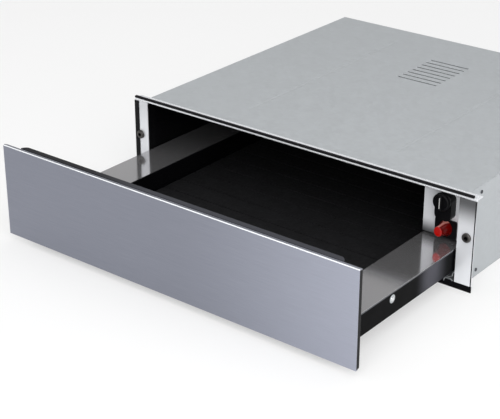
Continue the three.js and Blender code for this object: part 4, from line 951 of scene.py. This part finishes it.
def make_gland(_):
    """Cable gland: a bored neck under a wider cap."""
    low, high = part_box("cable_gland")
    centre = middle(low, high)
    radius, reach = (high.x - low.x) / 2, high.y - low.y
    place = facing((centre.x, low.y, centre.z), (0, 1, 0))
    neck, bore, seat = 7 / 9 * radius, 4.5 / 9 * radius, 0.754 * reach
    cap, mouth = reach - seat, reach - 0.7 * MM
    profile = [(bore, 0), (0.94 * neck, 0), (neck, 0.6 * MM), (neck, seat),
               (0.97 * radius, seat), (radius, seat + 0.3 * MM), (radius, seat + 0.6 * cap),
               (0.95 * radius, seat + 0.9 * cap), (0.88 * radius, reach), (0.62 * radius, reach),
               (0.58 * radius, mouth), (bore, mouth), (bore, 0)]
    turned("cable_gland_moulding", profile, place, "housing", "black_rubber", 48,
           replaced=["cable_gland"])


# --- studio ---


def seen_directly(tree):
    """Share that is one for what the camera, mirrors and glass see."""
    path = add_node(tree, "ShaderNodeLightPath")
    share = path.outputs["Is Camera Ray"]
    for kind in ("Is Glossy Ray", "Is Transmission Ray"):
        most = add_node(tree, "ShaderNodeMath", {0: share, 1: path.outputs[kind]},
                        operation="MAXIMUM")
        share = most.outputs["Value"]
    return share


def floor_material(studio):
    """Pale floor that looks a little brighter than it is lit and keeps its shadow."""
    surface = Surface("studio_floor", studio.floor_colour, 0.9)
    surface.shades(surface.mottle(900), 0.004)
    glow = surface.node("ShaderNodeEmission", {"Color": WHITE, "Strength": 1.0})
    share = surface.math("MULTIPLY", seen_directly(surface.tree), 0.5)
    mix = surface.node("ShaderNodeMixShader", {
        0: share, 1: surface.shader.outputs["BSDF"], 2: glow.outputs["Emission"]})
    output = surface.tree.nodes["Material Output"]
    surface.tree.links.new(mix.outputs["Shader"], output.inputs["Surface"])
    return surface.material


def make_floor(studio):
    bm = bmesh.new()
    bmesh.ops.create_circle(bm, cap_ends=True, radius=30, segments=96,
                            matrix=Matrix.Translation((0, 0, CAD_LOW.z - 0.2 * MM)))
    floor = add_mesh("studio_floor", bm, floor_material(studio))


def make_world(studio):
    """Even light from all round; seen directly, white at the horizon and greyer overhead."""
    world = bpy.data.worlds.new("studio_surround")
    world.use_nodes = True
    bpy.context.scene.world = world
    tree = world.node_tree
    lit = tree.nodes["Background"]
    lit.inputs["Color"].default_value = WHITE
    lit.inputs["Strength"].default_value = studio.sky_light
    place = add_node(tree, "ShaderNodeTexCoord")
    split = add_node(tree, "ShaderNodeSeparateXYZ", {"Vector": place.outputs["Generated"]})
    fade = add_node(tree, "ShaderNodeMapRange", {
        "Value": split.outputs["Z"], "From Min": 0.05, "From Max": 0.45, "To Min": 1,
        "To Max": studio.zenith})
    seen = add_node(tree, "ShaderNodeBackground", {
        "Color": WHITE, "Strength": fade.outputs["Result"]})
    mix = add_node(tree, "ShaderNodeMixShader", {
        0: seen_directly(tree), 1: lit.outputs["Background"], 2: seen.outputs["Background"]})
    tree.links.new(mix.outputs["Shader"], tree.nodes["World Output"].inputs["Surface"])


def area_light(name, place, aim, size, power):
    """Round soft light that points at a place."""
    lamp = bpy.data.lights.new(name, "AREA")
    lamp.shape = "DISK"
    lamp.size = size
    lamp.energy = power
    light = add_object(name, lamp)
    light.matrix_world = facing(place, Vector(place) - Vector(aim))


def make_lights(studio):
    aim = (0, -0.25, 0)
    area_light("key_light", (1.25, -1.75, 1.15), (0.2, -0.45, 0), 2.6, studio.key_power)
    area_light("fill_light", (-2.2, -1.0, 1.4), aim, 1.6, studio.fill_power)
    area_light("top_light", (0.1, 0.2, 2.4), aim, 2.8, studio.top_power)


def make_camera(studio):
    """Camera at its place, turned from the front and tilted down."""
    lens = bpy.data.cameras.new("photo_camera")
    lens.sensor_width = 36
    lens.lens = studio.focal_length
    lens.clip_start, lens.clip_end = 0.05, 100
    camera = add_object("photo_camera", lens)
    turn, rise = studio.camera_azimuth, studio.camera_elevation
    level = math.cos(rise)
    back = Vector((math.sin(turn) * level, -math.cos(turn) * level, math.sin(rise)))
    camera.matrix_world = facing(studio.camera_place, back)
    bpy.context.scene.camera = camera


# --- operators ---


class Maker:
    """Dresses its CAD nodes, then calls its makers with the detail settings."""

    bl_options = {"REGISTER", "UNDO"}
    nodes = ()
    makers = ()

    def execute(self, context):
        for node in self.nodes:
            dress(*node)
        for make in self.makers:
            make(context.scene.drawer_details)
        return {"FINISHED"}


class DRAWER_OT_front(Maker, Operator):
    """Brushed front, backing and carrier wall with its hem and screws."""

    bl_idname = "warming_drawer.front"
    bl_label = "Drawer front"
    nodes = (("front_panel", "front_steel", "front_edge"),
             ("front_backing", "black_plastic", "sheet_edge", "backing_plastic"),
             ("front_carrier", "black_steel", "sheet_edge", "grip_steel"))
    makers = (make_carrier_trim,)


class DRAWER_OT_box(Maker, Operator):
    """Tray, mat, side shelves and outer sides."""

    bl_idname = "warming_drawer.box"
    bl_label = "Drawer box"
    nodes = (("drawer_tray", "black_enamel", 0.4 * MM),
             ("non_slip_mat", "black_rubber", 0.4 * MM),
             ("side_shelf_*", "frame_steel", 0.15 * MM, "shelf_steel"),
             ("outer_side_*", "black_steel", "sheet_edge", "side_steel"))


class DRAWER_OT_studs(Maker, Operator):
    """Bright studs on the drawer's sides."""

    bl_idname = "warming_drawer.studs"
    bl_label = "Side studs"
    makers = (make_side_studs,)


class DRAWER_OT_runners(Maker, Operator):
    """Telescopic runners, their brackets and ball cages."""

    bl_idname = "warming_drawer.runners"
    bl_label = "Runners"
    nodes = (("runner_bracket_*", "zinc_steel", 0.2 * MM), ("fixed_rail_*", "zinc_steel", 0.2 * MM),
             ("middle_rail_*", "zinc_steel", 0.2 * MM), ("drawer_rail_*", "zinc_steel", 0.2 * MM),
             ("outer_ball_cage_*", "runner_balls", 0), ("inner_ball_cage_*", "runner_balls", 0))
    makers = (make_stop_wires,)


class DRAWER_OT_latch(Maker, Operator):
    """Push latch and striker."""

    bl_idname = "warming_drawer.latch"
    bl_label = "Push latch"
    nodes = (("latch_body", "black_plastic", 0.8 * MM),
             ("latch_plunger", "white_plastic", 0.2 * MM), ("latch_striker", "zinc_steel"))


class DRAWER_OT_frame(Maker, Operator):
    """Front frame and bottom strip."""

    bl_idname = "warming_drawer.frame"
    bl_label = "Front frame"
    nodes = (("front_column_*", "frame_steel", "sheet_edge", "column_*_steel"),
             ("bottom_front_strip", "black_steel"))
    makers = (make_rolled_rail, make_edge_line)


class DRAWER_OT_seals(Maker, Operator):
    """Black seals on the frame."""

    bl_idname = "warming_drawer.seals"
    bl_label = "Seals"
    nodes = (("edge_seal", "black_rubber", 0.15 * MM), ("top_seal_strip", "black_rubber", 0.8 * MM))


class DRAWER_OT_mounting_screws(Maker, Operator):
    """Screws through the frame."""

    bl_idname = "warming_drawer.mounting_screws"
    bl_label = "Mounting screws"
    makers = (make_mounting_screws,)


class DRAWER_OT_housing(Maker, Operator):
    """Housing panels, their screws and louvres."""

    bl_idname = "warming_drawer.housing"
    bl_label = "Housing"
    nodes = (("base_plate", "zinc_steel"), ("side_panel_*", "zinc_steel", 0.3 * MM),
             ("top_panel", "zinc_steel"), ("rear_panel", "zinc_steel", 0.2 * MM))
    makers = (make_louvre_hoods, make_case_screws)


class DRAWER_OT_liners(Maker, Operator):
    """Enamelled liners."""

    bl_idname = "warming_drawer.liners"
    bl_label = "Liners"
    nodes = (("side_liner_*", "black_enamel"), ("ceiling_liner", "black_enamel"),
             ("rear_liner", "black_enamel", 0.15 * MM))


class DRAWER_OT_control_box(Maker, Operator):
    """Fascia box, cover and wiring duct."""

    bl_idname = "warming_drawer.control_box"
    bl_label = "Control box"
    nodes = (("control_box", "frame_steel", "sheet_edge", "fascia_steel"),
             ("control_box_cover", "zinc_steel"), ("wiring_duct", "zinc_steel"))


class DRAWER_OT_thermostat(Maker, Operator):
    """Thermostat with its bezel and knob."""

    bl_idname = "warming_drawer.thermostat"
    bl_label = "Thermostat"
    nodes = (("knob_bezel", "black_plastic", "moulded_edge"),
             ("thermostat", "white_plastic", 0.6 * MM), ("knob_pointer", "white_print", 0.1 * MM))
    makers = (make_knob,)


class DRAWER_OT_power_switch(Maker, Operator):
    """Lit power button in its bezel."""

    bl_idname = "warming_drawer.power_switch"
    bl_label = "Power switch"
    nodes = (("switch_bezel", "black_plastic", 0.6 * MM),
             ("switch_body", "black_plastic", 0.6 * MM))
    makers = (make_button,)


class DRAWER_OT_fan(Maker, Operator):
    """Fan, its bracket and motor."""

    bl_idname = "warming_drawer.fan"
    bl_label = "Fan"
    nodes = (("fan_impeller", "zinc_steel", 0), ("fan_bracket", "zinc_steel", 0.2 * MM),
             ("fan_motor", "dark_metal", 0.6 * MM))


class DRAWER_OT_heater(Maker, Operator):
    """Heating element and thermal cut-out."""

    bl_idname = "warming_drawer.heater"
    bl_label = "Heater"
    nodes = (("heating_element", "dark_metal", 0), ("thermal_cutout", "dark_metal", 0.4 * MM))


class DRAWER_OT_inlet(Maker, Operator):
    """Terminal block and cable gland."""

    bl_idname = "warming_drawer.inlet"
    bl_label = "Cable inlet"
    nodes = (("terminal_block", "white_plastic", 0.5 * MM),)
    makers = (make_gland,)


class DRAWER_OT_studio(Operator):
    """Floor, surround, lights and camera."""

    bl_idname = "warming_drawer.studio"
    bl_label = "Studio"
    bl_options = {"REGISTER", "UNDO"}

    def execute(self, context):
        studio = context.scene.drawer_studio
        context.scene.view_settings.view_transform = "Standard"
        for make in (make_camera, make_floor, make_world, make_lights):
            make(studio)
        return {"FINISHED"}


OPERATORS = (
    DRAWER_OT_studio, DRAWER_OT_front, DRAWER_OT_box, DRAWER_OT_studs, DRAWER_OT_runners,
    DRAWER_OT_latch, DRAWER_OT_frame, DRAWER_OT_seals, DRAWER_OT_mounting_screws,
    DRAWER_OT_housing, DRAWER_OT_liners, DRAWER_OT_control_box, DRAWER_OT_thermostat,
    DRAWER_OT_power_switch, DRAWER_OT_fan, DRAWER_OT_heater, DRAWER_OT_inlet)


class DRAWER_PT_sidebar(Panel):
    """Lists the settings and the pieces."""

    bl_idname = "DRAWER_PT_sidebar"
    bl_label = "Warming Drawer"
    bl_space_type = "VIEW_3D"
    bl_region_type = "UI"
    bl_category = "Warming Drawer"

    def draw(self, context):
        layout = self.layout
        for title, group in (("Colours", context.scene.drawer_colours),
                             ("Details", context.scene.drawer_details),
                             ("Studio", context.scene.drawer_studio)):
            box = layout.box()
            box.label(text=title)
            for key in group.bl_rna.properties.keys():
                if key not in ("rna_type", "name"):
                    box.prop(group, key)
        column = layout.column(align=True)
        for operator in OPERATORS:
            column.operator(operator.bl_idname)


CLASSES = (WarmingDrawerColours, WarmingDrawerDetails, WarmingDrawerStudio, *OPERATORS,
           DRAWER_PT_sidebar)


def register():
    for cls in CLASSES:
        bpy.utils.register_class(cls)
    bpy.types.Scene.drawer_colours = PointerProperty(type=WarmingDrawerColours)
    bpy.types.Scene.drawer_details = PointerProperty(type=WarmingDrawerDetails)
    bpy.types.Scene.drawer_studio = PointerProperty(type=WarmingDrawerStudio)


def unregister():
    del bpy.types.Scene.drawer_studio
    del bpy.types.Scene.drawer_details
    del bpy.types.Scene.drawer_colours
    for cls in reversed(CLASSES):
        bpy.utils.unregister_class(cls)


def main():
    register()
    pieces = bpy.ops.warming_drawer
    pieces.studio()
    pieces.front()
    pieces.box()
    pieces.studs()
    pieces.runners()
    pieces.latch()
    pieces.frame()
    pieces.seals()
    pieces.mounting_screws()
    pieces.housing()
    pieces.liners()
    pieces.control_box()
    pieces.thermostat()
    pieces.power_switch()
    pieces.fan()
    pieces.heater()
    pieces.inlet()


if __name__ == "__main__":
    main()
